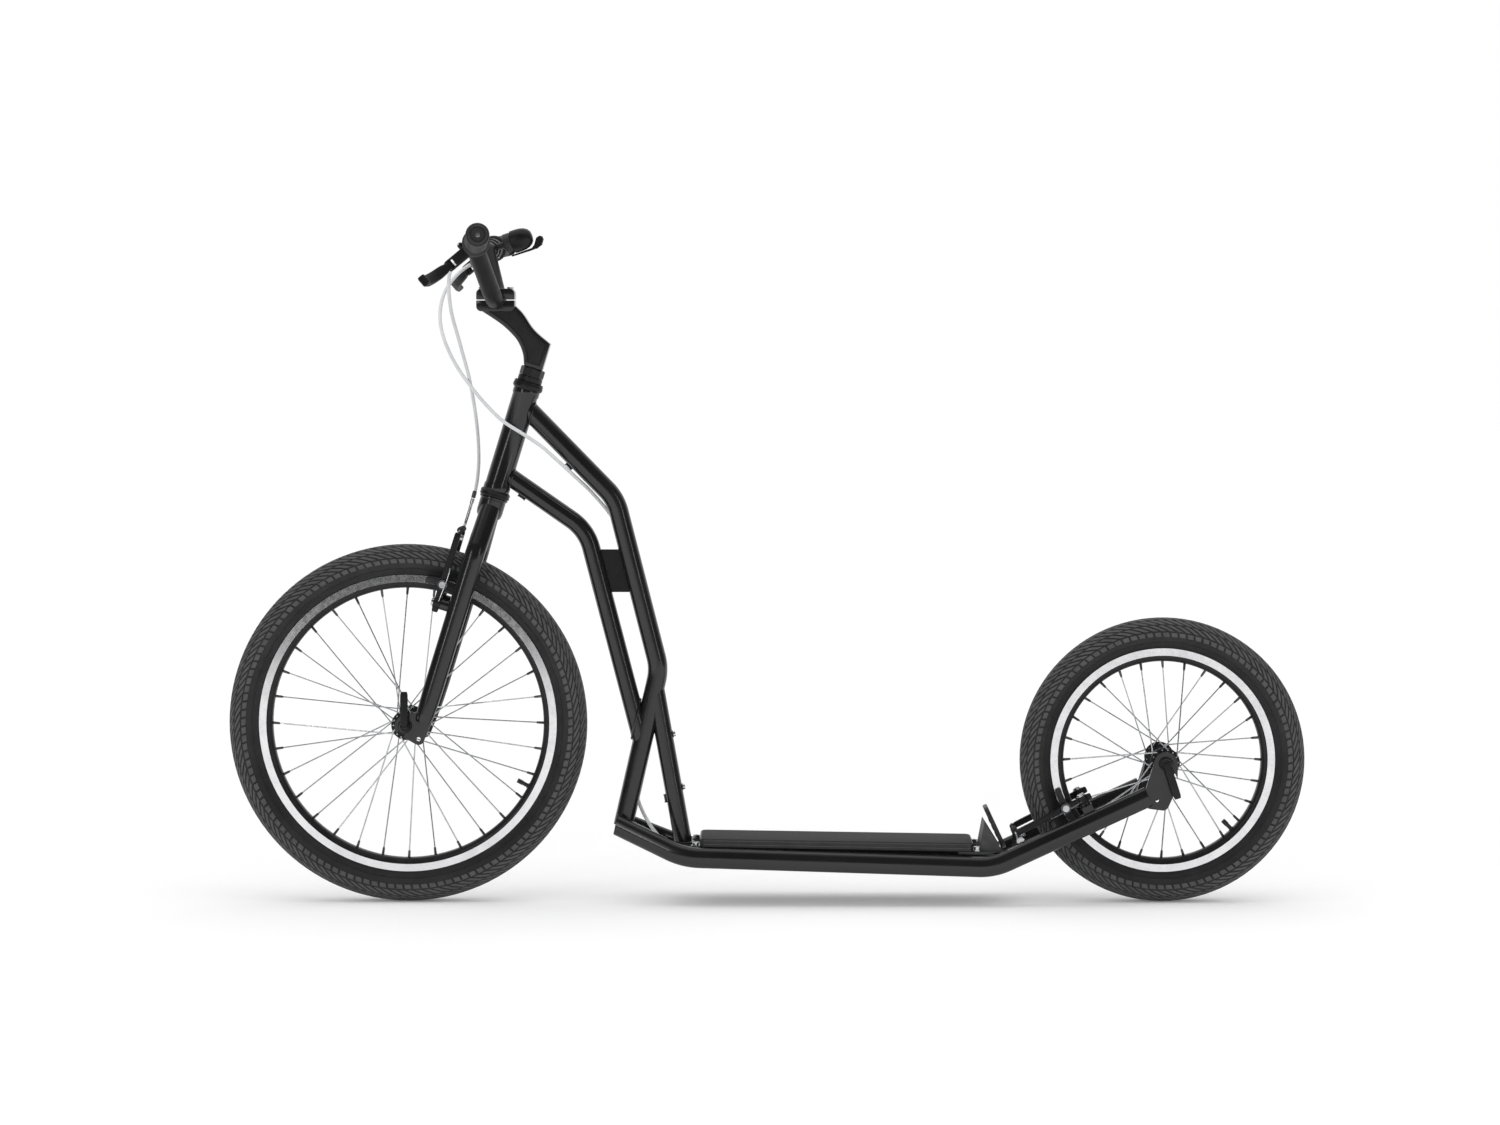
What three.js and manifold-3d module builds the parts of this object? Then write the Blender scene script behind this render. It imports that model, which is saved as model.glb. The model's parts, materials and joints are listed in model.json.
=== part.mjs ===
// A kick bike: an adult kick scooter with a 20 inch front and a 16 inch rear wheel.
// Millimetres, +Z up, the front wheel towards -X, the rider's left towards -Y, the ground at Z = 0.
import * as THREE from "three";
import { mergeVertices } from "three/addons/utils/BufferGeometryUtils.js";
import Module from "manifold-3d";

const wasm = await Module();
wasm.setup();

// Driving dimensions
const wheelbase = 1069;
const frontTyreRadius = 254;
const rearTyreRadius = 202;
const tyreWidth = 50;
const tyreHeight = 43;
const headLeanDegrees = 17.2;
const forkRake = 22.4;
const forkLength = 352;
const headTubeLength = 149;
const headTubeRadius = 18;
const stemReach = 78.4;
const stemRise = 108;
const barWidth = 606;
const barRise = 84;
const barRadius = 12.7;
const gripSeatRadius = 11.1;
const heelRoom = 67;
const deckWidth = 112;
const deckThickness = 12;
const deckSetback = 414;
const deckHeight = 95;
const railSpacing = 120;
const railHeight = 29;
const railWidth = 20;
const tubeWall = 1.8;
const frontHubLength = 100;
const rearHubLength = 110;

// Shared small sizes
const clearance = 0.3;
const overrun = 3;
const tiny = 0.05;
const weldGap = 0.001;
const wheelFacets = 32;
const gripFacets = 20;
const roundFacets = 16;
const discFacets = 12;
const tubeFacets = 10;
const smallFacets = 8;
const wireFacets = 6;
const spokeFacets = 3;

// Places that follow from the driving dimensions
const lean = THREE.MathUtils.degToRad(headLeanDegrees);
const frontAxleX = -(wheelbase + rearTyreRadius - frontTyreRadius) / 2;
const rearAxleX = frontAxleX + wheelbase;
const steerUp = new THREE.Vector3(Math.sin(lean), 0, Math.cos(lean));
const steerBack = new THREE.Vector3(Math.cos(lean), 0, -Math.sin(lean));
const steerFoot = new THREE.Vector3(frontAxleX, 0, frontTyreRadius).addScaledVector(steerBack, forkRake);
const headBottom = steerFoot.clone().addScaledVector(steerUp, forkLength);
const headTop = headBottom.clone().addScaledVector(steerUp, headTubeLength);

// Materials
const finish = (color, roughness, metalness) =>
  new THREE.MeshStandardMaterial({ color, roughness, metalness });
const paint = finish(0x0c0c0d, 0.15, 0.1);
const blackMetal = finish(0x17171a, 0.35, 0.6);
const steel = finish(0xb9bcc0, 0.25, 1);
const brushedRim = finish(0xd4d6d8, 0.35, 0.9);
const rubber = finish(0x2a2a2b, 0.85, 0);
const gripRubber = finish(0x333336, 0.8, 0);
const plastic = finish(0x141414, 0.5, 0);
const deckGrip = finish(0x1b1b1c, 0.9, 0);
const cableGrey = finish(0xdadbdc, 0.45, 0);

// A closed geometry as a solid that can be cut and joined, its faces turned out.
function solid(geometry, matrix = new THREE.Matrix4()) {
  const bare = (geometry.index ? geometry : mergeVertices(geometry)).clone().applyMatrix4(matrix);
  bare.deleteAttribute("normal");
  bare.deleteAttribute("uv");
  const merged = mergeVertices(bare, weldGap);
  const asMesh = (triVerts) =>
    new wasm.Manifold(
      new wasm.Mesh({ numProp: 3, vertProperties: merged.attributes.position.array, triVerts }),
    );
  const made = asMesh(new Uint32Array(merged.index.array));
  if (made.volume() > 0) return made;
  return asMesh(new Uint32Array(merged.index.array).reverse());
}

function join(...solids) {
  return solids.reduce((sum, next) => sum.add(next));
}

function cut(body, ...cutters) {
  return cutters.reduce((left, cutter) => left.subtract(cutter), body);
}

function geometryOf(body) {
  const { vertProperties, triVerts } = body.getMesh();
  const geometry = new THREE.BufferGeometry();
  geometry.setAttribute("position", new THREE.BufferAttribute(new Float32Array(vertProperties), 3));
  geometry.setIndex(new THREE.BufferAttribute(new Uint32Array(triVerts), 1));
  return geometry;
}

const moved = (body, matrix) => solid(geometryOf(body), matrix);

// A named mesh holding a solid, added to a group.
function addPiece(group, name, body, material) {
  const geometry = geometryOf(body);
  geometry.computeVertexNormals();
  const mesh = new THREE.Mesh(geometry, material);
  mesh.name = name;
  group.add(mesh);
}

const point = (x, y, z) => new THREE.Vector3(x, y, z);
const shift = (x, y, z) => new THREE.Matrix4().makeTranslation(x, y, z);

// A cylinder from one point to another.
function rod(from, to, radius, facets = tubeFacets) {
  const along = to.clone().sub(from);
  const turn = new THREE.Quaternion().setFromUnitVectors(point(0, 1, 0), along.clone().normalize());
  const middle = from.clone().add(to).multiplyScalar(0.5);
  const place = new THREE.Matrix4().compose(middle, turn, point(1, 1, 1));
  return solid(new THREE.CylinderGeometry(radius, radius, along.length(), facets), place);
}

// A cylinder along Y, centred on x and z.
function crossRod(x, z, fromY, toY, radius, facets = tubeFacets) {
  return rod(point(x, fromY, z), point(x, toY, z), radius, facets);
}

function box(low, high) {
  const size = high.clone().sub(low);
  const middle = low.clone().add(high).multiplyScalar(0.5);
  return solid(new THREE.BoxGeometry(size.x, size.y, size.z), shift(middle.x, middle.y, middle.z));
}

// A body of revolution about Y from a closed outline of [radius, y] places.
function turned(outline, facets) {
  const closed = [...outline, outline[0]].map(([radius, y]) => new THREE.Vector2(radius, y));
  return solid(new THREE.LatheGeometry(closed, facets));
}

// A straight run with rounded corners, swept with its section kept square to a sideways direction.
class BentPath extends THREE.Curve {
  constructor(corners, bendRadius, sideways = point(0, 1, 0), bendSteps = 3) {
    super();
    this.sideways = sideways;
    this.places = [];
    this.headings = [];
    const legs = corners.slice(1).map((corner, i) => corner.clone().sub(corners[i]));
    this.mark(corners[0], legs[0]);
    legs.slice(1).forEach((next, i) => this.turn(corners[i + 1], legs[i], next, bendRadius, bendSteps));
    this.mark(corners.at(-1), legs.at(-1));
  }

  mark(place, heading) {
    this.places.push(place.clone());
    this.headings.push(heading.clone().normalize());
  }

  turn(corner, legIn, legOut, bendRadius, bendSteps) {
    const inward = legIn.clone().normalize();
    const outward = legOut.clone().normalize();
    const angle = inward.angleTo(outward);
    const room = Math.min(legIn.length(), legOut.length()) / 2;
    const reach = Math.min(bendRadius * Math.tan(angle / 2), room);
    const radius = reach / Math.tan(angle / 2);
    const side = outward.clone().addScaledVector(inward, -Math.cos(angle)).normalize();
    const start = corner.clone().addScaledVector(inward, -reach);
    for (let step = 0; step <= bendSteps; step++) {
      const turned = (angle * step) / bendSteps;
      const place = start
        .clone()
        .addScaledVector(inward, radius * Math.sin(turned))
        .addScaledVector(side, radius * (1 - Math.cos(turned)));
      const heading = inward.clone().multiplyScalar(Math.cos(turned)).addScaledVector(side, Math.sin(turned));
      this.mark(place, heading);
    }
  }

  getSpacedPoints() {
    return this.places;
  }

  computeFrenetFrames() {
    const normals = this.headings.map((heading) =>
      this.sideways.clone().addScaledVector(heading, -this.sideways.dot(heading)).normalize(),
    );
    const binormals = this.headings.map((heading, i) => heading.clone().cross(normals[i]));
    return { tangents: this.headings, normals, binormals };
  }
}

// A round or oval outline: its first half-axis lies along the sweep's sideways direction.
function ovalShape(sideRadius, upRadius, facets = tubeFacets) {
  const places = [];
  for (let i = 0; i < facets; i++) {
    const angle = ((i + 0.5) * 2 * Math.PI) / facets;
    places.push(new THREE.Vector2(sideRadius * Math.cos(angle), upRadius * Math.sin(angle)));
  }
  return new THREE.Shape(places);
}

function swept(shape, path) {
  return solid(new THREE.ExtrudeGeometry(shape, { extrudePath: path, steps: path.places.length - 1 }));
}

// A tube along rounded corners, solid when it has no wall.
function bentTube(corners, bendRadius, radius, wall = 0, sideways = point(0, 1, 0), facets = tubeFacets) {
  const shape = ovalShape(radius, radius, facets);
  if (wall) shape.holes.push(ovalShape(radius - wall, radius - wall, facets));
  return swept(shape, new BentPath(corners, bendRadius, sideways));
}

// A flat plate in the XZ plane between two Y faces, outlined round a set of discs [x, z, radius].
function discPlate(discs, lowY, highY, facets = discFacets) {
  const places = discs.flatMap(([x, z, radius]) =>
    Array.from({ length: facets }, (_, i) => {
      const angle = (2 * Math.PI * i) / facets;
      return [x + radius * Math.cos(angle), z + radius * Math.sin(angle)];
    }),
  );
  return platedOutline(hull(places), lowY, highY);
}

// A flat plate in the XZ plane between two Y faces from an outline of [x, z] places.
function platedOutline(outline, lowY, highY) {
  const shape = new THREE.Shape(outline.map(([x, z]) => new THREE.Vector2(x, z)));
  const geometry = new THREE.ExtrudeGeometry(shape, { depth: highY - lowY, bevelEnabled: false });
  const upright = new THREE.Matrix4().makeRotationX(Math.PI / 2).setPosition(0, highY, 0);
  return solid(geometry, upright);
}

// A rectangle standing on a low line, with its corners rounded off.
function roundedShape(width, low, high, radius, footRadius = radius) {
  const half = width / 2;
  const shape = new THREE.Shape();
  shape.moveTo(footRadius - half, low);
  shape.lineTo(half - footRadius, low);
  shape.quadraticCurveTo(half, low, half, low + footRadius);
  shape.lineTo(half, high - radius);
  shape.quadraticCurveTo(half, high, half - radius, high);
  shape.lineTo(radius - half, high);
  shape.quadraticCurveTo(-half, high, -half, high - radius);
  shape.lineTo(-half, low + footRadius);
  shape.quadraticCurveTo(-half, low, footRadius - half, low);
  return shape;
}

// The convex outline round a set of [x, z] places.
function hull(places) {
  const sorted = [...places].sort((a, b) => a[0] - b[0] || a[1] - b[1]);
  const turnsRight = (a, b, c) => (b[0] - a[0]) * (c[1] - a[1]) - (b[1] - a[1]) * (c[0] - a[0]) <= tiny;
  const half = (list) => {
    const chain = [];
    for (const place of list) {
      while (chain.length > 1 && turnsRight(chain.at(-2), chain.at(-1), place)) chain.pop();
      chain.push(place);
    }
    return chain.slice(0, -1);
  };
  return [...half(sorted), ...half([...sorted].reverse())];
}

// Wheels
const rim = { width: 25, depth: 19, bandDepth: 11, lip: 2, wellDepth: 13, bedHalf: 6, beadDepth: 5 };
const spokeRadius = 1;
const valve = { radius: 3, boreRadius: 1.2, length: 42, washerRadius: 5 };
const hub = { shellRadius: 12.5, flangeRadius: 21, flangeHalf: 1.5, coneRadius: 8.5, coneLength: 9 };
const frontLacing = { spokeCount: 32, valveDegrees: -28 };
const rearLacing = { spokeCount: 28, valveDegrees: -45 };
const axleRadius = 4.9;
const hubBoreRadius = 5.4;

function rimSolid(rimRadius, valveAngle) {
  const half = rim.width / 2;
  const bed = rimRadius - rim.depth;
  const well = rimRadius - rim.wellDepth;
  const ring = turned(
    [
      [rimRadius, half],
      [rimRadius - rim.bandDepth, half],
      [bed, rim.bedHalf],
      [bed, -rim.bedHalf],
      [rimRadius - rim.bandDepth, -half],
      [rimRadius, -half],
      [rimRadius, rim.lip - half],
      [well, rim.lip - half],
      [well, half - rim.lip],
      [rimRadius, half - rim.lip],
    ],
    wheelFacets,
  );
  const out = point(Math.cos(valveAngle), 0, Math.sin(valveAngle));
  const hole = rod(
    out.clone().multiplyScalar(bed - overrun),
    out.clone().multiplyScalar(rimRadius),
    valve.radius + clearance,
  );
  return cut(ring, hole);
}

// The tyre's casing, from bead to tread to bead, as half outlines mirrored about the wheel's plane.
const tyreWall = 3;
const tubeSkin = 1.2;
const tubeSlack = 4.6;
const outerHalfShares = [
  [0.3, 0.86],
  [0.55, 1],
  [0.82, 0.86],
  [1, 0.3],
];
const innerHalfShares = [
  [0.42, 0.86],
  [0.95, 0.5],
];
const tubeHalfShares = [
  [0.5, 0.8],
  [0.93, 0.45],
];

function casingHalf(shares, rimRadius, wall) {
  const innerHeight = tyreHeight - wall;
  const innerHalf = tyreWidth / 2 - wall;
  return shares.map(([up, side]) => [rimRadius + up * innerHeight, side * innerHalf]);
}

const mirrored = (half) => [...half, ...half.toReversed().map(([radius, y]) => [radius, -y])];

function tyreSolid(rimRadius) {
  const beadOuter = rim.width / 2 - rim.lip - clearance;
  const beadFoot = rimRadius - rim.beadDepth;
  const outside = [
    [beadFoot, beadOuter],
    [rimRadius + rim.lip, beadOuter],
    ...casingHalf(outerHalfShares, rimRadius, 0),
  ];
  const inside = [
    [beadFoot, beadOuter - tyreWall],
    [rimRadius + rim.lip + rim.lip, beadOuter - tyreWall],
    ...casingHalf(innerHalfShares, rimRadius, tyreWall),
  ];
  const outer = mirrored(outside);
  const inner = mirrored(inside).toReversed();
  const split = outer.length / 2;
  return turned([...outer.slice(split), ...inner, ...outer.slice(0, split)], wheelFacets);
}

// The inner tube and its valve, slack inside the casing.
function innerTubeSolid(rimRadius, valveAngle) {
  const foot = rimRadius + rim.lip + tubeSlack;
  const footHalf = rim.width / 2 - rim.lip - tyreWall - rim.lip - tubeSkin;
  const wall = tyreWall + tubeSlack;
  const skin = tubeSkin;
  const facets = wheelFacets / 2;
  const shell = (inset) => [
    [foot + inset, footHalf - inset],
    ...casingHalf(tubeHalfShares, rimRadius, wall + inset),
  ];
  const outer = turned(mirrored(shell(0)), facets);
  const inner = turned(mirrored(shell(skin)), facets);
  const out = point(Math.cos(valveAngle), 0, Math.sin(valveAngle));
  const flat = foot * Math.cos(Math.PI / facets);
  const tip = out.clone().multiplyScalar(foot - valve.length);
  const stem = rod(tip, out.clone().multiplyScalar(foot + skin + skin / 2), valve.radius);
  const base = rod(
    out.clone().multiplyScalar(flat - skin / 2),
    out.clone().multiplyScalar(foot + skin + skin / 2),
    valve.washerRadius,
  );
  const bore = rod(
    out.clone().multiplyScalar(foot - valve.length - overrun),
    out.clone().multiplyScalar(foot + overrun),
    valve.boreRadius,
  );
  return cut(join(cut(outer, inner), stem, base), bore);
}

function hubSolid(length) {
  const half = length / 2;
  const flange = half - hub.coneLength - hub.flangeHalf - hub.flangeHalf;
  return turned(
    mirrored([
      [hub.shellRadius, flange - hub.flangeHalf - hub.flangeHalf],
      [hub.flangeRadius, flange - hub.flangeHalf],
      [hub.flangeRadius, flange + hub.flangeHalf],
      [hub.coneRadius, half - hub.coneLength + hub.flangeHalf],
      [hub.coneRadius, half],
      [hubBoreRadius, half],
    ].toReversed()),
    roundFacets,
  );
}

// The spokes of one side, laced across each other: each leading spoke meets the trailing ones it crosses.
const spokeCrossings = 2;

function spokeSolid(rimRadius, hubLength, spokeCount, side) {
  const flange = hubLength / 2 - hub.coneLength - hub.flangeHalf - hub.flangeHalf;
  const bed = (rimRadius - rim.depth) * Math.cos(Math.PI / wheelFacets) - clearance;
  const start = hub.flangeRadius + clearance + spokeRadius;
  const pitch = (4 * Math.PI) / spokeCount;
  const spokes = [];
  for (let i = 0; i < spokeCount / 2; i++) {
    const leads = i % 2 ? -1 : 1;
    const rimAngle = i * pitch + (side > 0 ? pitch / 2 : 0);
    const hubAngle = rimAngle + leads * spokeCrossings * pitch;
    spokes.push(
      rod(
        point(start * Math.cos(hubAngle), side * flange, start * Math.sin(hubAngle)),
        point(bed * Math.cos(rimAngle), side * rim.lip, bed * Math.sin(rimAngle)),
        spokeRadius,
        spokeFacets,
      ),
    );
  }
  return join(...spokes);
}

function addWheel(group, name, tyreRadius, hubLength, { spokeCount, valveDegrees }) {
  const rimRadius = tyreRadius - tyreHeight;
  const valveAngle = THREE.MathUtils.degToRad(valveDegrees);
  addPiece(group, name + "_tyre", tyreSolid(rimRadius), rubber);
  addPiece(group, name + "_inner_tube", innerTubeSolid(rimRadius, valveAngle), rubber);
  addPiece(group, name + "_rim", rimSolid(rimRadius, valveAngle), brushedRim);
  addPiece(group, name + "_hub", hubSolid(hubLength), blackMetal);
  addPiece(group, name + "_spokes_left", spokeSolid(rimRadius, hubLength, spokeCount, -1), steel);
  addPiece(group, name + "_spokes_right", spokeSolid(rimRadius, hubLength, spokeCount, 1), steel);
}

// The quick-release skewer of a wheel, in a group at the axle: rod and cam housing, nut and lever.
const dropoutThickness = 5;
const skewer = { housingRadius: 10, housingLength: 13, nutLength: 12, leverWidth: 11, leverThickness: 5 };
const skewerLeverLength = 50;
const frontLeverDegrees = 0;
const rearLeverDegrees = 162;

function addSkewer(group, name, hubLength, leverDegrees) {
  const face = hubLength / 2 + clearance + dropoutThickness + clearance;
  const housingEnd = face + skewer.housingLength;
  const shaft = crossRod(0, 0, -housingEnd, face + skewer.nutLength, axleRadius);
  const housing = crossRod(0, 0, -housingEnd, -face, skewer.housingRadius, roundFacets);
  addPiece(group, name + "_skewer", join(shaft, housing), steel);
  const nutEnd = face + skewer.nutLength;
  const nutBody = crossRod(0, 0, face, nutEnd - clearance, skewer.housingRadius, smallFacets);
  const nutBore = crossRod(0, 0, face - overrun, nutEnd, axleRadius + clearance);
  addPiece(group, name + "_skewer_nut", cut(nutBody, nutBore), blackMetal);
  const halfThick = skewer.leverThickness / 2;
  const hinge = housingEnd + clearance + halfThick;
  const halfWide = skewer.leverWidth / 2;
  const blade = box(
    point(-halfWide, -hinge - halfThick, 0),
    point(halfWide, -hinge + halfThick, skewerLeverLength),
  );
  const knuckle = rod(point(-halfWide, -hinge, 0), point(halfWide, -hinge, 0), halfThick);
  const lever = new THREE.Group();
  lever.rotation.y = THREE.MathUtils.degToRad(leverDegrees);
  addPiece(lever, name + "_skewer_lever", join(blade, knuckle), blackMetal);
  group.add(lever);
}

// A rim brake in its own frame: the arms stand along +Z from their pivots, the studs point along +X.
const brake = {
  pivotDrop: 27,
  pivotSpacing: 80,
  armLength: 107,
  armFoot: 14,
  armDepth: 10,
  armWidth: 8,
  eyeRadius: 8,
  studRadius: 4,
  studHeadRadius: 6.5,
  studHeadLength: 3,
  bossRadius: 8,
  linkStartShare: 0.125,
  linkBendShare: 0.17,
};
const pad = { gap: 2.5, thickness: 10, height: 9, length: 52, boltRadius: 3, headRadius: 5.5, headLength: 4 };
const noodleRadius = 2.5;
const bootRadius = 5;
const frontNoodle = { lateral: 54, rise: 44 };
const rearNoodle = { lateral: 42, reach: 24 };
const noodleSide = point(1, 0, 0.1);

function brakeArm(side) {
  const middle = (side * brake.pivotSpacing) / 2;
  const half = brake.armWidth / 2;
  const depth = brake.armDepth / 2;
  const bar = box(
    point(-depth, middle - half, -brake.armFoot),
    point(depth, middle + half, brake.armLength - brake.armWidth / 2),
  );
  const eye = rod(point(-depth, middle, 0), point(depth, middle, 0), brake.eyeRadius, roundFacets);
  const bore = rod(
    point(-depth - overrun, middle, 0),
    point(depth + overrun, middle, 0),
    brake.studRadius + clearance,
  );
  const slot = crossRod(
    0,
    brake.pivotDrop,
    middle - half - overrun,
    middle + half + overrun,
    pad.boltRadius + clearance,
  );
  return cut(join(bar, eye), bore, slot);
}

function brakePad(side) {
  const inner = rim.width / 2 + pad.gap;
  const outer = inner + pad.thickness;
  const armFace = brake.pivotSpacing / 2 + brake.armWidth / 2 + clearance;
  const ends = (y) => (side > 0 ? y : -y);
  const low = Math.min(ends(inner), ends(outer));
  const shoe = box(
    point(-pad.length / 2, low, brake.pivotDrop - pad.height / 2),
    point(pad.length / 2, low + pad.thickness, brake.pivotDrop + pad.height / 2),
  );
  const bolt = crossRod(0, brake.pivotDrop, ends(outer - overrun), ends(armFace + overrun), pad.boltRadius);
  const headEnd = armFace + pad.headLength;
  const head = crossRod(0, brake.pivotDrop, ends(armFace), ends(headEnd), pad.headRadius);
  return join(shoe, bolt, head);
}

// The curved cable guide on one arm with its boot and the wire to the other arm.
function brakeLink(side, cornersAlong) {
  const top = brake.armLength - brake.armWidth / 2 + clearance + noodleRadius;
  const inner = point(0, side * brake.linkStartShare * brake.pivotSpacing, top);
  const corners = [inner, ...cornersAlong.map(({ x, y, z }) => point(x, side * y, z + top))];
  const bend = brake.linkBendShare * brake.pivotSpacing;
  const noodle = bentTube(corners, bend, noodleRadius, 0, noodleSide, smallFacets);
  const farArm = (-side * brake.pivotSpacing) / 2;
  const boot = rod(inner, point(0, farArm / 2, top), bootRadius, smallFacets);
  const wire = rod(point(0, farArm / 2 + side * tiny, top), point(0, farArm, top), spokeRadius, wireFacets);
  return join(noodle, boot, wire);
}

function addBrake(group, name, leftSign, linkSide, linkCorners) {
  addPiece(group, name + "_brake_left_arm", brakeArm(leftSign), blackMetal);
  addPiece(group, name + "_brake_left_pad", brakePad(leftSign), plastic);
  addPiece(group, name + "_brake_right_arm", brakeArm(-leftSign), blackMetal);
  addPiece(group, name + "_brake_right_pad", brakePad(-leftSign), plastic);
  addPiece(group, name + "_brake_noodle", brakeLink(linkSide, linkCorners), steel);
}

// The boss, stud and bolt head that carry one brake arm.
function brakeStud(side, bossFoot) {
  const middle = (side * brake.pivotSpacing) / 2;
  const armBack = -brake.armDepth / 2 - clearance;
  const armFront = brake.armDepth / 2 + clearance;
  const boss = rod(point(bossFoot, middle, 0), point(armBack, middle, 0), brake.bossRadius);
  const studEnd = armFront + overrun / 2;
  const stud = rod(point(armBack - overrun, middle, 0), point(studEnd, middle, 0), brake.studRadius);
  const head = rod(
    point(armFront, middle, 0),
    point(armFront + brake.studHeadLength, middle, 0),
    brake.studHeadRadius,
  );
  return [boss, stud, head];
}

// The welded frame. Corners are shares of the way from the head tube's foot to the leg's foot.
const legGap = 50.5;
const legFootHeight = 107;
const mainTubeRadius = 14;
const lowerTubeRadius = 13;
const strutRadius = 12.7;
const mainBendRadius = 70;
const legFoot = point(frontAxleX + frontTyreRadius + legGap, 0, legFootHeight);
const fromHead = ([xShare, zShare]) =>
  point(
    headBottom.x + xShare * (legFoot.x - headBottom.x),
    0,
    headBottom.z + zShare * (legFoot.z - headBottom.z),
  );
const upperBendShare = [0.944, 0.025];
const kneeBendShare = [1.286, 0.53];
const lowerBendShare = [0.714, 0.118];
const lowerFootShare = [1.151, 0.749];
const strutHeadShare = [1.254, 0.582];
const upperJointShare = 0.86;
const lowerJointShare = 0.19;
const onHead = (share) => headBottom.clone().addScaledVector(steerUp, share * headTubeLength);

function headRod(radius, low, high) {
  return rod(
    headBottom.clone().addScaledVector(steerUp, low),
    headBottom.clone().addScaledVector(steerUp, high),
    radius,
    roundFacets,
  );
}

const headBoreRadius = headTubeRadius - tubeWall - tubeWall / 2;

function headTube() {
  return cut(
    headRod(headTubeRadius, 0, headTubeLength),
    headRod(headBoreRadius, -overrun, headTubeLength + overrun),
  );
}

const mainTubeCorners = [
  onHead(upperJointShare),
  fromHead(upperBendShare),
  fromHead(kneeBendShare),
  legFoot,
];
const headCutter = () =>
  headRod(headTubeRadius / Math.cos(Math.PI / roundFacets) + clearance, -headTubeLength, headTubeLength * 2);
const mainTubeCutter = () => bentTube(mainTubeCorners, mainBendRadius, mainTubeRadius + clearance * 2);

function upperMainTube() {
  return cut(bentTube(mainTubeCorners, mainBendRadius, mainTubeRadius, tubeWall), headCutter());
}

function lowerMainTube() {
  const corners = [onHead(lowerJointShare), fromHead(lowerBendShare), fromHead(lowerFootShare)];
  return cut(bentTube(corners, mainBendRadius, lowerTubeRadius, tubeWall), headCutter(), mainTubeCutter());
}

// The deck's own slope and heights, and the rails that run beside and behind it.
const deckDrop = 6;
const deckFrontX = frontAxleX + deckSetback;
const deckRearX = rearAxleX - rearTyreRadius - heelRoom;
const deckLength = deckRearX - deckFrontX;
const deckSlope = Math.atan2(deckDrop, deckLength);
const deckTopAt = (x) => deckHeight - (x - deckFrontX) * Math.tan(deckSlope);
const rails = {
  frontHeight: 69.5,
  cornerHeight: 55.6,
  cornerSetback: 241.5,
  endSetback: 24.5,
  endDrop: 46,
  kneeSetback: 22,
  footLift: 5,
  footSetback: 10,
  bendRadius: 90,
};

function railCorners(side) {
  const lateral = (side * railSpacing) / 2;
  const footLateral = side * (mainTubeRadius + clearance + railWidth / 2);
  return [
    point(legFoot.x - rails.footSetback, footLateral, legFoot.z + rails.footLift),
    point(deckFrontX - rails.kneeSetback, lateral, rails.frontHeight),
    point(rearAxleX - rails.cornerSetback, lateral, rails.cornerHeight),
    point(rearAxleX - rails.endSetback, lateral, rearTyreRadius - rails.endDrop),
  ];
}

// The rear brake's frame: its arms point forwards and down from pivots above the rails.
const rearBrakeArmDegrees = 27;
const rearPadDegrees = 25;
const rearBandRadius = rearTyreRadius - tyreHeight - rim.bandDepth / 2;
const rearPadAngle = THREE.MathUtils.degToRad(rearPadDegrees);
const rearArmAngle = THREE.MathUtils.degToRad(rearBrakeArmDegrees);
const rearArmDirection = point(-Math.cos(rearArmAngle), 0, -Math.sin(rearArmAngle));
const rearStudDirection = point(-Math.sin(rearArmAngle), 0, Math.cos(rearArmAngle));
const rearBrakePlace = point(
  rearAxleX - rearBandRadius * Math.cos(rearPadAngle),
  0,
  rearTyreRadius - rearBandRadius * Math.sin(rearPadAngle),
).addScaledVector(rearArmDirection, -brake.pivotDrop);
const rearBrakeMatrix = new THREE.Matrix4()
  .makeBasis(rearStudDirection, point(0, 1, 0), rearArmDirection)
  .setPosition(rearBrakePlace);

// Discs [x, z, radius] round the rear dropout, as shares of its drop below the axle.
const rearDropoutDrop = 66;
const rearDropoutShares = [
  [0, 0, 0.25],
  [-0.3, -0.78, 0.19],
  [-0.06, -0.87, 0.13],
  [0.03, -0.45, 0.22],
];
const dropoutHole = { x: -12, z: -52, radius: 2.5 };
const rearSlot = { back: 25, drop: 50 };

function rearDropout(side) {
  const face = rearHubLength / 2 + clearance;
  const low = side > 0 ? face : -face - dropoutThickness;
  const discs = rearDropoutShares.map(([x, z, radius]) => [
    rearAxleX + x * rearDropoutDrop,
    rearTyreRadius + z * rearDropoutDrop,
    radius * rearDropoutDrop,
  ]);
  const slotRadius = axleRadius + clearance;
  const slot = discPlate(
    [
      [rearAxleX, rearTyreRadius, slotRadius],
      [rearAxleX + rearSlot.back, rearTyreRadius - rearSlot.drop, slotRadius],
    ],
    low - overrun,
    low + dropoutThickness + overrun,
  );
  const hole = crossRod(
    rearAxleX + dropoutHole.x,
    rearTyreRadius + dropoutHole.z,
    low - overrun,
    low + dropoutThickness + overrun,
    dropoutHole.radius,
  );
  return { plate: discPlate(discs, low, low + dropoutThickness), cutters: [slot, hole] };
}

// How far below the rear brake's pivots, along their studs, the rails' middle line lies.
function bossReach() {
  const [, , from, to] = railCorners(1);
  const leg = to.clone().sub(from);
  const offset = rearBrakePlace.clone().sub(from);
  return (offset.z * leg.x - offset.x * leg.z) / (rearStudDirection.z * leg.x - rearStudDirection.x * leg.z);
}

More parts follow.
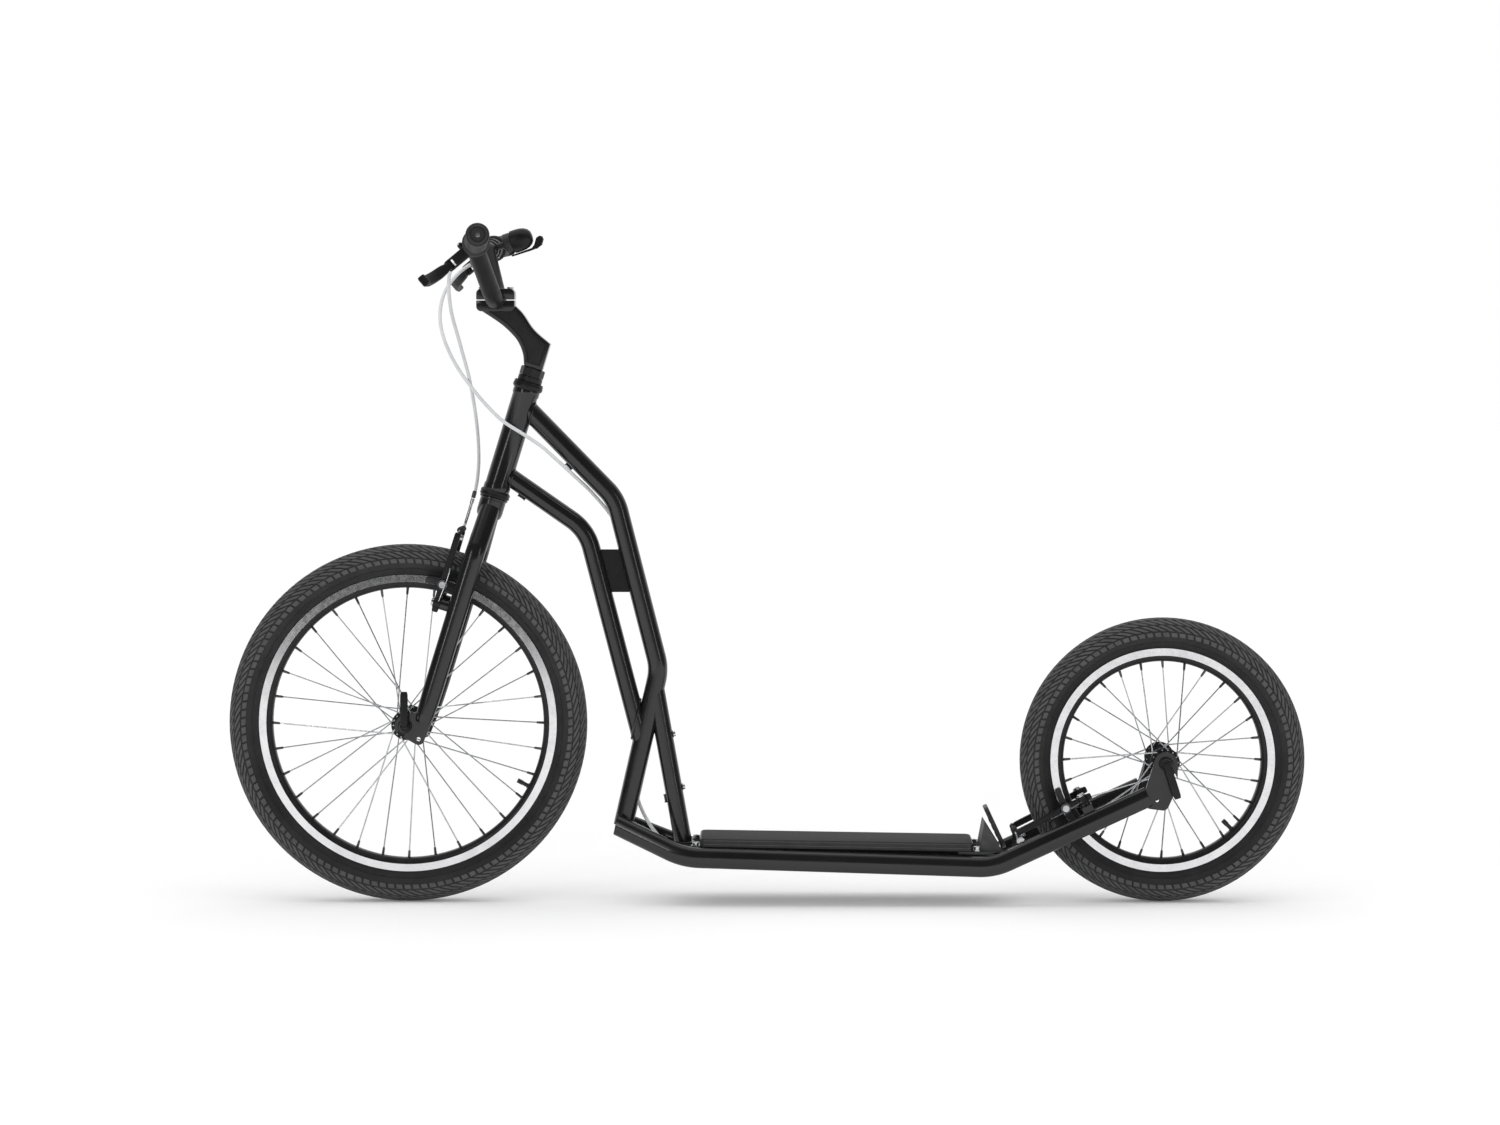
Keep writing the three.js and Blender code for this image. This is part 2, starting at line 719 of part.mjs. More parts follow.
// A rail with the dropout and the brake boss that are welded to it.
function railSolid(side) {
  const shape = ovalShape(railWidth / 2, railHeight / 2);
  shape.holes.push(ovalShape(railWidth / 2 - tubeWall, railHeight / 2 - tubeWall));
  const tube = swept(shape, new BentPath(railCorners(side), rails.bendRadius));
  const { plate, cutters } = rearDropout(side);
  const lateral = (side * railSpacing) / 2;
  const inner = (side * (brake.pivotSpacing - brake.bossRadius)) / 2;
  const armBack = -brake.armDepth / 2 - clearance;
  const blockFoot = railHeight / 4 - bossReach();
  const block = box(
    point(blockFoot, Math.min(inner, lateral), -brake.bossRadius),
    point(armBack - overrun, Math.max(inner, lateral), brake.bossRadius),
  );
  const [boss, stud, head] = brakeStud(side, armBack - railWidth / 2);
  const studs = moved(join(block, boss, stud, head), rearBrakeMatrix);
  return cut(join(tube, plate, studs), ...cutters);
}

// Cross plates that tie the rails together under the deck's two ends.
const crossPlate = { thickness: 4, frontReach: 34, frontTuck: 24, rearTuck: 22 };

function crossPlateBetween(fromX, toX) {
  const top = (x) => deckTopAt(x) - deckThickness - clearance;
  const half = railSpacing / 2 - railWidth / 2 - clearance;
  return platedOutline(
    [
      [fromX, top(fromX) - crossPlate.thickness],
      [toX, top(toX) - crossPlate.thickness],
      [toX, top(toX)],
      [fromX, top(fromX)],
    ],
    -half,
    half,
  );
}

function railCutter(side) {
  const shape = ovalShape(railWidth / 2 + clearance, railHeight / 2 + clearance);
  return swept(shape, new BentPath(railCorners(side), rails.bendRadius));
}

function frontCrossmember() {
  const plate = crossPlateBetween(deckFrontX - crossPlate.frontReach, deckFrontX + crossPlate.frontTuck);
  return cut(plate, railCutter(-1), railCutter(1));
}

// The folded bracket behind the deck, open towards the rear wheel, on the rear cross plate.
const heelBracket = { rise: 30, length: 34, width: 70, sheet: 3, rearSheet: 4.2, lead: 8 };

function rearCrossmember() {
  const plateEnd = deckRearX + heelBracket.lead + heelBracket.length;
  const plate = crossPlateBetween(deckRearX - crossPlate.rearTuck, plateEnd);
  const frontX = deckRearX + heelBracket.lead;
  const foot = deckTopAt(frontX) - deckThickness - clearance - crossPlate.thickness / 2;
  const peak = foot + heelBracket.rise + deckThickness;
  const half = heelBracket.width / 2;
  const outline = [
    [frontX, foot],
    [frontX + heelBracket.length, foot],
    [frontX + heelBracket.lead, peak],
  ];
  const hollow = outline.map(([x, z]) => [x + heelBracket.rearSheet, z]);
  const shell = platedOutline(outline, -half, half);
  const inside = platedOutline(hollow, heelBracket.sheet - half, half - heelBracket.sheet);
  return join(cut(shell, inside), plate);
}

function strutTube() {
  const footX = deckFrontX - rails.kneeSetback;
  const floor = deckTopAt(footX - strutRadius) - deckThickness + clearance;
  const foot = point(footX, 0, floor - strutRadius);
  const tube = bentTube([fromHead(strutHeadShare), foot], mainBendRadius, strutRadius, tubeWall);
  const below = box(
    point(footX - railSpacing, -railSpacing, floor - railSpacing),
    point(footX + railSpacing, railSpacing, floor),
  );
  return cut(tube, mainTubeCutter(), below);
}

const gussetThickness = 5;
const gussetShares = [
  [0.78, 0.175],
  [0.89, 0.302],
  [1.16, 0.302],
  [1.02, 0.175],
];

function gussetPlate() {
  const outline = gussetShares.map(fromHead).map(({ x, z }) => [x, z]);
  const plate = platedOutline(outline, -gussetThickness / 2, gussetThickness / 2);
  const corners = [onHead(lowerJointShare), fromHead(lowerBendShare), fromHead(lowerFootShare)];
  return cut(plate, mainTubeCutter(), bentTube(corners, mainBendRadius, lowerTubeRadius + clearance * 2));
}

function addFrame(group) {
  addPiece(group, "head_tube", headTube(), paint);
  addPiece(group, "upper_main_tube", upperMainTube(), paint);
  addPiece(group, "lower_main_tube", lowerMainTube(), paint);
  addPiece(group, "gusset_plate", gussetPlate(), paint);
  addPiece(group, "strut_tube", strutTube(), paint);
  addPiece(group, "left_rail", railSolid(-1), paint);
  addPiece(group, "right_rail", railSolid(1), paint);
  addPiece(group, "front_crossmember", frontCrossmember(), paint);
  addPiece(group, "rear_crossmember", rearCrossmember(), paint);
}

// The footboard: a round-cornered board laid along the deck's slope.
const deckCorner = 10;

function footboard() {
  const shape = roundedShape(deckLength, -deckWidth / 2, deckWidth / 2, deckCorner);
  const bevel = deckThickness / 8;
  const geometry = new THREE.ExtrudeGeometry(shape, {
    depth: deckThickness - bevel - bevel,
    bevelThickness: bevel,
    bevelSize: bevel,
    bevelOffset: -bevel,
    bevelSegments: 1,
    curveSegments: 4,
  });
  const middleX = (deckFrontX + deckRearX) / 2;
  const place = new THREE.Matrix4()
    .makeRotationY(deckSlope)
    .setPosition(middleX, 0, deckTopAt(middleX) - deckThickness + bevel);
  return solid(geometry, place);
}

// The heel guard that stands on the bracket in front of the rear tyre.
const heelGuard = { height: 64, width: 52, thickness: 5, topRadius: 13, footRadius: 2, leanDegrees: 25 };

function heelGuardSolid() {
  const { width, height, topRadius, footRadius } = heelGuard;
  const geometry = new THREE.ExtrudeGeometry(roundedShape(width, 0, height, topRadius, footRadius), {
    depth: heelGuard.thickness,
    bevelEnabled: false,
    curveSegments: 4,
  });
  const footX = deckRearX + heelBracket.lead + heelBracket.length;
  const foot = point(footX, 0, deckTopAt(footX) - deckThickness);
  const across = point(0, 1, 0);
  const guardLean = THREE.MathUtils.degToRad(heelGuard.leanDegrees);
  const up = point(-Math.sin(guardLean), 0, Math.cos(guardLean));
  const place = new THREE.Matrix4().makeBasis(across, up, across.clone().cross(up)).setPosition(foot);
  return solid(geometry, place);
}

// The headset: cups in the frame, and the nut on the fork's steerer.
const headset = { cupRadius: 21.5, lowerHeight: 9, upperHeight: 11, nutRadius: 17.5, nutHeight: 20 };
const steererRadius = 14.3;
const quillRadius = 12.5;

function cupRing(low, height) {
  return cut(
    headRod(headset.cupRadius, low, low + height),
    headRod(steererRadius + clearance * 2, low - overrun, low + height + overrun),
  );
}

function addHeadsetCups(group) {
  const lowerFoot = -clearance - headset.lowerHeight;
  addPiece(group, "lower_headset_cup", cupRing(lowerFoot, headset.lowerHeight), blackMetal);
  addPiece(group, "upper_headset_cup", cupRing(headTubeLength + clearance, headset.upperHeight), blackMetal);
}

// The steering, in a frame whose Z is the steering axis and whose origin is its point nearest the front axle.
const fork = {
  bladeRadius: 14,
  bladeSide: 11,
  footLateral: 54,
  shoulderLateral: 48,
  shoulderHeight: 262,
  crownLateral: 9,
  crownTop: 326,
  bendRadius: 40,
  crownRadius: 18.5,
  crownHeight: 30,
  footHeight: 12,
};
const forkEyelet = { x: 1, z: -12, radius: 8, holeRadius: 3 };
const forkTip = { radius: 15, rootHeight: 18, rootRadius: 12, slotDrop: 25 };
const forkDropoutDiscs = [
  [-forkRake, 0, forkTip.radius],
  [forkEyelet.x, forkEyelet.z, forkEyelet.radius],
  [0, forkTip.rootHeight, forkTip.rootRadius],
];
const crownSeat = forkLength - clearance - headset.lowerHeight - clearance;
const headsetTop = forkLength + headTubeLength + clearance + headset.upperHeight + clearance;
const frontBandRadius = frontTyreRadius - tyreHeight - rim.bandDepth / 2;
const frontBrakeForward = 31;
const frontPivotHeight =
  Math.sqrt(frontBandRadius ** 2 - (frontBrakeForward - forkRake) ** 2) - brake.pivotDrop;
const frontBrakeMatrix = new THREE.Matrix4()
  .makeRotationZ(Math.PI)
  .setPosition(-frontBrakeForward, 0, frontPivotHeight);

function forkBlade(side) {
  const corners = [
    point(0, side * fork.footLateral, fork.footHeight),
    point(0, side * fork.shoulderLateral, fork.shoulderHeight),
    point(0, side * fork.crownLateral, fork.crownTop),
  ];
  const shape = ovalShape(fork.bladeRadius, fork.bladeSide);
  shape.holes.push(ovalShape(fork.bladeRadius - tubeWall, fork.bladeSide - tubeWall));
  return swept(shape, new BentPath(corners, fork.bendRadius, point(1, 0, 0)));
}

function forkDropout(side) {
  const face = frontHubLength / 2 + clearance;
  const low = side > 0 ? face : -face - dropoutThickness;
  const plate = discPlate(forkDropoutDiscs, low, low + dropoutThickness);
  const slotRadius = axleRadius + clearance;
  const slot = discPlate(
    [
      [-forkRake, 0, slotRadius],
      [-forkRake - slotRadius, -forkTip.slotDrop, slotRadius],
    ],
    low - overrun,
    low + dropoutThickness + overrun,
  );
  const eyelet = crossRod(
    forkEyelet.x,
    forkEyelet.z,
    low - overrun,
    low + dropoutThickness + overrun,
    forkEyelet.holeRadius,
  );
  return { plate, cutters: [slot, eyelet] };
}

function forkSolid() {
  const up = (z) => point(0, 0, z);
  const crown = rod(up(crownSeat - fork.crownHeight), up(crownSeat), fork.crownRadius, roundFacets);
  const steererTop = headsetTop + headset.nutHeight - clearance;
  const steerer = rod(up(crownSeat - overrun), up(steererTop), steererRadius, roundFacets);
  const boreRadius = quillRadius + clearance + clearance / 2;
  const bore = rod(up(crownSeat - overrun), up(steererTop + overrun), boreRadius, roundFacets);
  const bossFoot = frontBrakeForward - fork.bladeRadius / 2;
  const studs = [-1, 1].flatMap((side) => brakeStud(side, -bossFoot));
  const placedStuds = studs.map((piece) => moved(piece, frontBrakeMatrix));
  const left = forkDropout(-1);
  const right = forkDropout(1);
  const body = join(forkBlade(-1), forkBlade(1), crown, steerer, left.plate, right.plate, ...placedStuds);
  return cut(body, bore, ...left.cutters, ...right.cutters);
}

function headsetNut() {
  const low = point(0, 0, headsetTop);
  const high = point(0, 0, headsetTop + headset.nutHeight);
  const bore = rod(
    point(0, 0, headsetTop - overrun),
    point(0, 0, headsetTop + headset.nutHeight + overrun),
    steererRadius + clearance,
    roundFacets,
  );
  return cut(rod(low, high, headset.nutRadius, smallFacets), bore);
}

// The stem: a quill, a gooseneck outlined in shares of its reach and rise, and the lower half of the clamp.
const stem = { quillDepth: 60, neckWidth: 30, clampLength: 54, clampWidth: 40, capHeight: 16, slit: 1.4 };
const stemFoot = headsetTop + headset.nutHeight + clearance;
const clampHeight = forkLength + headTubeLength + stemRise;
const neckShares = [
  [0.17, 0],
  [0.17, 0.52],
  [-0.18, 0.68],
  [-0.45, 0.9],
  [-0.62, 1],
  [-1.25, 0.9],
  [-1.29, 0.76],
  [-0.82, 0.62],
  [-0.56, 0.5],
  [-0.39, 0.38],
  [-0.25, 0.2],
  [-0.17, 0],
];
const clampMatrix = new THREE.Matrix4().makeRotationY(-lean).setPosition(-stemReach, 0, clampHeight);

function clampBlock(lowZ, highZ) {
  const half = stem.clampLength / 2;
  const wide = stem.clampWidth / 2;
  return box(point(-half, -wide, lowZ), point(half, wide, highZ));
}

function stemSolid() {
  const quillFoot = point(0, 0, stemFoot - stem.quillDepth);
  const quill = rod(quillFoot, point(0, 0, stemFoot + overrun), quillRadius, roundFacets);
  const rise = clampHeight - stemFoot;
  const outline = neckShares.map(([x, z]) => [x * stemReach, stemFoot + z * rise]);
  const half = stem.neckWidth / 2;
  const neck = platedOutline(outline, -half, half);
  const lower = clampBlock(-stem.capHeight, -stem.slit / 2);
  const seat = crossRod(0, 0, -stem.clampWidth, stem.clampWidth, barRadius + clearance, roundFacets);
  const above = box(
    point(-stem.clampLength, -stem.clampWidth, -stem.slit / 2),
    point(stem.clampLength, stem.clampWidth, stem.clampLength),
  );
  const inPlace = (piece) => moved(piece, clampMatrix);
  return cut(join(quill, neck, inPlace(lower)), inPlace(seat), inPlace(above));
}

// Everything at the handlebar is laid out from the clamp's centre, level with the ground.
function stemCap() {
  const seat = crossRod(0, 0, -stem.clampWidth, stem.clampWidth, barRadius + clearance, roundFacets);
  return cut(clampBlock(stem.slit / 2, stem.capHeight), seat);
}

const grip = {
  length: 127,
  endRadius: 16.2,
  endLength: 16,
  waistRadius: 15,
  flangeRadius: 19,
  flangeLength: 5,
};
const leverClamp = { gripGap: 10, halfWidth: 8, radius: 15.5, reach: 44, halfHeight: 8, earRadius: 7 };
const leverLateral = barWidth / 2 - grip.length - leverClamp.gripGap - leverClamp.halfWidth;
// The riser's shares of half the bar's width, of the bar's rise and of its own run sideways.
const riserShares = { inner: 0.1452, leverGap: 0.1518, height: 0.857, bend: 0.662 };
const riser = { forward: 21.5, tipForward: 4 };
const innerLateral = (riserShares.inner * barWidth) / 2;
const shoulderLateral = leverLateral - (riserShares.leverGap * barWidth) / 2;
const barBendRadius = riserShares.bend * (shoulderLateral - innerLateral);
const barWall = 2;
const barTip = point(-riser.tipForward, barWidth / 2, barRise);
const barShoulder = point(-riser.forward, shoulderLateral, riserShares.height * barRise);
const barRun = barTip.clone().sub(barShoulder).normalize();
const alongBar = (lateral) =>
  barShoulder.clone().addScaledVector(barRun, (lateral - shoulderLateral) / barRun.y);

function handlebar() {
  const flip = (place) => place.clone().setY(-place.y);
  const inner = point(0, innerLateral, 0);
  const whole = [flip(barTip), flip(barShoulder), flip(inner), inner, barShoulder, barTip];
  const thickEnd = alongBar(shoulderLateral + gripSeatRadius);
  const thick = [flip(thickEnd), flip(barShoulder), flip(inner), inner, barShoulder, thickEnd];
  const forward = point(1, 0, 0);
  const thin = bentTube(whole, barBendRadius, gripSeatRadius, 0, forward);
  const fat = bentTube(thick, barBendRadius, barRadius, 0, forward);
  const bore = whole.map((place) => place.clone());
  bore[0].addScaledVector(flip(barRun), overrun);
  bore[5].addScaledVector(barRun, overrun);
  const hollow = bentTube(bore, barBendRadius, gripSeatRadius - barWall, 0, forward, smallFacets);
  return cut(join(thin, fat), hollow);
}

// The right half of the handlebar's fittings; the left half mirrors it.
const plug = { radius: 13, thickness: 4, shankLength: 14, shankRadius: 8 };
const leverPinRadius = 2;
const barrel = { radius: 4.2, length: 20, x: 32 };
const leverDropDegrees = 40;
const leverReach = 49;
const leverLength = 128;
const leverHalfHeight = 7;
const leverRootHalf = 5;
const leverRootRadius = 6;
const leverTipRadius = 6.5;
// Places along the lever: shares of its reach, of its length and of its tip's radius.
const leverShares = [
  [0.3, 0.09, 0.92],
  [0.62, 0.27, 0.85],
  [0.85, 0.52, 0.77],
  [0.95, 0.8, 0.77],
  [1, 1, 1],
];

// A matrix on the bar's axis at a lateral distance: Y runs along the bar, and X aims the way given.
function barFrame(lateral, aim) {
  const outward = aim.clone().addScaledVector(barRun, -aim.dot(barRun)).normalize();
  const up = outward.clone().cross(barRun);
  return new THREE.Matrix4().makeBasis(outward, barRun, up).setPosition(alongBar(lateral));
}

function forwardAndDown(degrees) {
  const drop = THREE.MathUtils.degToRad(degrees);
  return point(-Math.cos(drop), 0, -Math.sin(drop));
}

function gripSolid() {
  const bore = gripSeatRadius + clearance;
  return turned(
    [
      [bore, -grip.length],
      [grip.flangeRadius, -grip.length],
      [grip.flangeRadius, grip.flangeLength - grip.length],
      [grip.waistRadius, grip.flangeLength - grip.length],
      [grip.waistRadius, -grip.endLength],
      [grip.endRadius, -grip.endLength],
      [grip.endRadius, -clearance],
      [bore, -clearance],
    ],
    gripFacets,
  );
}

function plugSolid() {
  return turned(
    [
      [tiny, -plug.shankLength],
      [plug.shankRadius, -plug.shankLength],
      [plug.shankRadius, 0],
      [plug.radius, 0],
      [plug.radius, plug.thickness],
      [tiny, plug.thickness],
    ],
    roundFacets,
  );
}

function leverBracket() {
  const { halfWidth, radius, reach, halfHeight, earRadius } = leverClamp;
  const ring = crossRod(0, 0, -halfWidth, halfWidth, radius, gripFacets);
  const body = box(point(radius / 2, -halfWidth, -halfHeight), point(reach, halfWidth, halfHeight));
  const ears = rod(point(reach, 0, -halfHeight), point(reach, 0, halfHeight), earRadius, roundFacets);
  const adjuster = crossRod(barrel.x, 0, -halfWidth - barrel.length, 0, barrel.radius);
  const boreRadius = gripSeatRadius + clearance;
  const bore = crossRod(0, 0, -halfWidth - overrun, halfWidth + overrun, boreRadius, gripFacets);
  const room = leverRootHalf + clearance;
  const slot = box(
    point(reach - earRadius - clearance, -radius, -room),
    point(reach + radius, radius, room),
  );
  const pin = rod(point(reach, 0, -halfHeight), point(reach, 0, halfHeight), leverPinRadius, smallFacets);
  return join(cut(join(ring, body, ears, adjuster), bore, slot), pin);
}

function brakeLever() {
  const { reach } = leverClamp;
  const disc = ([x, y, radius]) => [reach + x * leverReach, y * leverLength, radius * leverTipRadius];
  const discs = leverShares.map(disc);
  const root = [reach, 0, leverRootRadius];
  const laidFlat = new THREE.Matrix4().makeRotationX(-Math.PI / 2);
  const link = (from, to, half) => moved(discPlate([from, to], -half, half), laidFlat);
  const blade = discs.slice(1).map((next, i) => link(discs[i], next, leverHalfHeight));
  const stub = link(root, discs[0], leverRootHalf);
  const bore = rod(
    point(reach, 0, -leverRootHalf - overrun),
    point(reach, 0, leverRootHalf + overrun),
    leverPinRadius + clearance,
    smallFacets,
  );
  return cut(join(stub, ...blade), bore);
}

function addBarSide(group, name) {
  const atTip = new THREE.Group();
  atTip.applyMatrix4(barFrame(barWidth / 2, forwardAndDown(leverDropDegrees)));
  addPiece(atTip, name + "_grip", gripSolid(), gripRubber);
  addPiece(atTip, name + "_bar_plug", plugSolid(), plastic);
  const atLever = new THREE.Group();
  atLever.applyMatrix4(barFrame(leverLateral, forwardAndDown(leverDropDegrees)));
  addPiece(atLever, name + "_lever_bracket", leverBracket(), blackMetal);
  addPiece(atLever, name + "_brake_lever", brakeLever(), blackMetal);
  group.add(atTip, atLever);
}

// The bell on the right side of the bar, in a frame whose X points back and up from the bar's axis.
const bell = {
  leverGap: 20,
  riseDegrees: 18,
  bandHalf: 5,
  bandRadius: 14,
  baseStart: 24,
  baseRadius: 15,
  domeStart: 35,
  domeRadius: 16.5,
  domeEnd: 66,
  domeWall: 1.6,
  hinge: 29,
  leverEnd: 78,
  leverWidth: 8,
  leverThickness: 2.5,
  lugRadius: 4,
};
const bellLeverLow = -bell.domeRadius - clearance - bell.leverThickness - clearance;
const domeShares = [
  [0, 0.91],
  [0.35, 1],
  [0.65, 0.93],
  [0.87, 0.62],
  [1, 0.2],
];

function bellBase() {
  const band = crossRod(0, 0, -bell.bandHalf, bell.bandHalf, bell.bandRadius, roundFacets);
  const neck = rod(point(bell.bandRadius / 2, 0, 0), point(bell.baseStart + overrun, 0, 0), bell.bandHalf);
  const disc = rod(point(bell.baseStart, 0, 0), point(bell.domeStart, 0, 0), bell.baseRadius, roundFacets);
  const lugEnd = bellLeverLow + bell.leverThickness + clearance;
  const lug = rod(point(bell.hinge, 0, -bell.baseRadius / 2), point(bell.hinge, 0, lugEnd), bell.lugRadius);
  const boreRadius = gripSeatRadius + clearance;
  const bore = crossRod(0, 0, -bell.bandRadius, bell.bandRadius, boreRadius, roundFacets);
  return cut(join(band, neck, disc, lug), bore);
}

function domeShell(inset, start) {
  const length = bell.domeEnd - bell.domeStart - inset;
  const outline = domeShares.map(([along, out]) => [
    out * (bell.domeRadius - inset),
    Math.max(along * length, start),
  ]);
  const closed = [[tiny, start], ...outline, [tiny, length]];
  return turned(closed, roundFacets);
}

function bellDome() {
  const cup = cut(domeShell(0, 0), domeShell(bell.domeWall, -overrun));
  const turn = new THREE.Matrix4().makeRotationZ(-Math.PI / 2);
  turn.setPosition(bell.domeStart + clearance, 0, 0);
  return moved(cup, turn);
}

function bellLever() {
  const half = bell.leverWidth / 2;
  return box(
    point(bell.hinge, -half, bellLeverLow),
    point(bell.leverEnd, half, bellLeverLow + bell.leverThickness),
  );
}

function addBell(group) {
  const place = new THREE.Group();
  place.applyMatrix4(barFrame(leverLateral - bell.leverGap, forwardAndDown(bell.riseDegrees).negate()));
  addPiece(place, "bell_base", bellBase(), plastic);
  addPiece(place, "bell_dome", bellDome(), blackMetal);
  addPiece(place, "bell_lever", bellLever(), plastic);
  group.add(place);
}

function addCockpit(group) {
  addPiece(group, "stem_cap", stemCap(), blackMetal);
  addPiece(group, "handlebar", handlebar(), paint);
  const right = new THREE.Group();
  addBarSide(right, "right");
  const left = new THREE.Group();
  left.scale.y = -1;
  addBarSide(left, "left");
  group.add(right, left);
  addBell(group);
}

// Brake cables in their housings, laid by hand along their real routes.
const housingRadius = 2.5;
const frontCableSteps = 30;
const rearCableSteps = 64;
const frontCableRoute = [
  [-426.15, -133.1, 904.95],
  [-430, -118, 902],
  [-440, -98, 886],
  [-441, -70, 842],
  [-430, -40, 790],
  [-420, -14, 745],
  [-414, 14, 700],
  [-411, 34, 660],
  [-411, 48, 620],
  [-415, 54, 588],
  [-419.5, 54, 570.7],
];
const rearCableRoute = [
  [-426.15, 133.1, 904.95],
  [-431, 117, 902],
  [-447, 96, 887],
  [-461, 70, 862],
  [-465, 44, 832],
  [-458, 18, 800],
  [-440, -4, 763],
  [-417, -18, 731],
  [-394, -24, 704],
  [-371, -26, 682],
  [-343, -26, 664],
  [-318, -23, 647],
  [-298, -16, 629],
  [-274, -4, 606],
  [-246, 10, 578],
  [-218, 16, 543],
  [-195.8, 16.1, 500],
  [-183.1, 16.1, 450],
  [-170.4, 16.1, 400],
  [-159, 16.2, 345],
  [-164.5, 16.1, 280],
  [-182.8, 16.1, 200],
  [-187, 16.5, 160],
  [-178, 16, 128],
  [-160, 12, 98],
  [-136, 8, 74],
  [-105, 6, 60],
  [-50, 5, 56],
  [60, 5, 54],
  [180, 8, 50],
  [270, 18, 46],
  [325, 32, 46],
  [352, 38, 52],
  [365, 41, 64],
  [362.3, 42, 79.2],
];

function cableSolid(route, steps) {
  const curve = new THREE.CatmullRomCurve3(route.map(([x, y, z]) => point(x, y, z)), false, "centripetal");
  const shape = ovalShape(housingRadius, housingRadius, wireFacets);
  return solid(new THREE.ExtrudeGeometry(shape, { extrudePath: curve, steps }));
}

// The whole kick bike
const kickBike = new THREE.Group();
addFrame(kickBike);
addHeadsetCups(kickBike);
addPiece(kickBike, "footboard", footboard(), deckGrip);
addPiece(kickBike, "heel_guard", heelGuardSolid(), plastic);

const steering = new THREE.Group();
steering.position.copy(steerFoot);
steering.rotation.y = lean;
addPiece(steering, "fork", forkSolid(), paint);
addPiece(steering, "headset_nut", headsetNut(), blackMetal);
addPiece(steering, "stem", stemSolid(), paint);
const cockpit = new THREE.Group();
cockpit.applyMatrix4(clampMatrix);
addCockpit(cockpit);
steering.add(cockpit);

const frontBrake = new THREE.Group();
frontBrake.applyMatrix4(frontBrakeMatrix);
const frontNoodleCorners = [
  point(0, frontNoodle.lateral, 0),
  point(0, frontNoodle.lateral, frontNoodle.rise),
];
addBrake(frontBrake, "front", 1, -1, frontNoodleCorners);
steering.add(frontBrake);
kickBike.add(steering);

const frontWheel = new THREE.Group();
frontWheel.position.set(frontAxleX, 0, frontTyreRadius);
addWheel(frontWheel, "front", frontTyreRadius, frontHubLength, frontLacing);
addSkewer(frontWheel, "front", frontHubLength, frontLeverDegrees);
kickBike.add(frontWheel);

const rearWheel = new THREE.Group();
rearWheel.position.set(rearAxleX, 0, rearTyreRadius);
addWheel(rearWheel, "rear", rearTyreRadius, rearHubLength, rearLacing);
addSkewer(rearWheel, "rear", rearHubLength, rearLeverDegrees);
kickBike.add(rearWheel);

const rearBrake = new THREE.Group();
rearBrake.applyMatrix4(rearBrakeMatrix);
const rearNoodleCorners = [
  point(0, rearNoodle.lateral, 0),
  point(-rearNoodle.reach, rearNoodle.lateral, 0),
];
addBrake(rearBrake, "rear", -1, 1, rearNoodleCorners);
kickBike.add(rearBrake);

addPiece(kickBike, "front_brake_cable", cableSolid(frontCableRoute, frontCableSteps), cableGrey);
addPiece(kickBike, "rear_brake_cable", cableSolid(rearCableRoute, rearCableSteps), cableGrey);

export default kickBike;
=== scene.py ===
"""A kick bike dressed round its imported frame. Metres, +Z up, front wheel towards -X, left side at -Y."""

import json
import math

import bmesh
import bpy
from mathutils import Matrix, Vector


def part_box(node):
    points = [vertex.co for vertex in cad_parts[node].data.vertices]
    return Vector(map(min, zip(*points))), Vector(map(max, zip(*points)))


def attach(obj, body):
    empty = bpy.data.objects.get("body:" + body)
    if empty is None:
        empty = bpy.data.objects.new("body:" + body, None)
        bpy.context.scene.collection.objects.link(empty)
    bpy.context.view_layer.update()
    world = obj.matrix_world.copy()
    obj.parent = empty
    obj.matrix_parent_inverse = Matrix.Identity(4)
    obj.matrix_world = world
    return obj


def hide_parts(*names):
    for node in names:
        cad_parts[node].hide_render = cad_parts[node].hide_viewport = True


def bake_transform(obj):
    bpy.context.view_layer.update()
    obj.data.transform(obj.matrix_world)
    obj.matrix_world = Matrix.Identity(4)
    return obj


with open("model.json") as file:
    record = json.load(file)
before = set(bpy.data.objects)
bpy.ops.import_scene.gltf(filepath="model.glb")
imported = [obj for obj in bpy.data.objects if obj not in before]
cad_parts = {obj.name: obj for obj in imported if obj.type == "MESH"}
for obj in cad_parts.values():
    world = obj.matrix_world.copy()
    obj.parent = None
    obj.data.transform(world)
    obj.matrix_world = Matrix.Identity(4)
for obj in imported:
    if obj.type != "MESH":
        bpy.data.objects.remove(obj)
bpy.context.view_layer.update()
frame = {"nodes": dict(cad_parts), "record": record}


def mm(*values):
    """Millimetres as metres: one number, or a vector of three."""
    scaled_values = [value / 1000 for value in values]
    return scaled_values[0] if len(scaled_values) == 1 else Vector(scaled_values)


def box_middle(node):
    low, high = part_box(node)
    return (low + high) / 2


def box_size(node):
    low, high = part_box(node)
    return high - low


# Driving sizes, as in the frame
FRONT_AXLE = box_middle("front_tyre")
REAR_AXLE = box_middle("rear_tyre")
FRONT_TYRE_RADIUS = box_size("front_tyre").z / 2
REAR_TYRE_RADIUS = box_size("rear_tyre").z / 2
TYRE_HEIGHT = mm(43)
FRONT_RIM_RADIUS = FRONT_TYRE_RADIUS - TYRE_HEIGHT
REAR_RIM_RADIUS = REAR_TYRE_RADIUS - TYRE_HEIGHT
FRONT_HUB_HALF = box_size("front_hub").y / 2
REAR_HUB_HALF = box_size("rear_hub").y / 2
HEAD_LEAN = math.radians(17.2)
FORK_RAKE = mm(22.4)
FORK_LENGTH = mm(352)
HEAD_TUBE_LENGTH = mm(149)
HEAD_TUBE_RADIUS = mm(18)
STEM_REACH = mm(78.4)
STEM_RISE = mm(108)
BAR_WIDTH = mm(606)
BAR_RISE = mm(84)
BAR_RADIUS = mm(12.7)
GRIP_SEAT_RADIUS = mm(11.1)
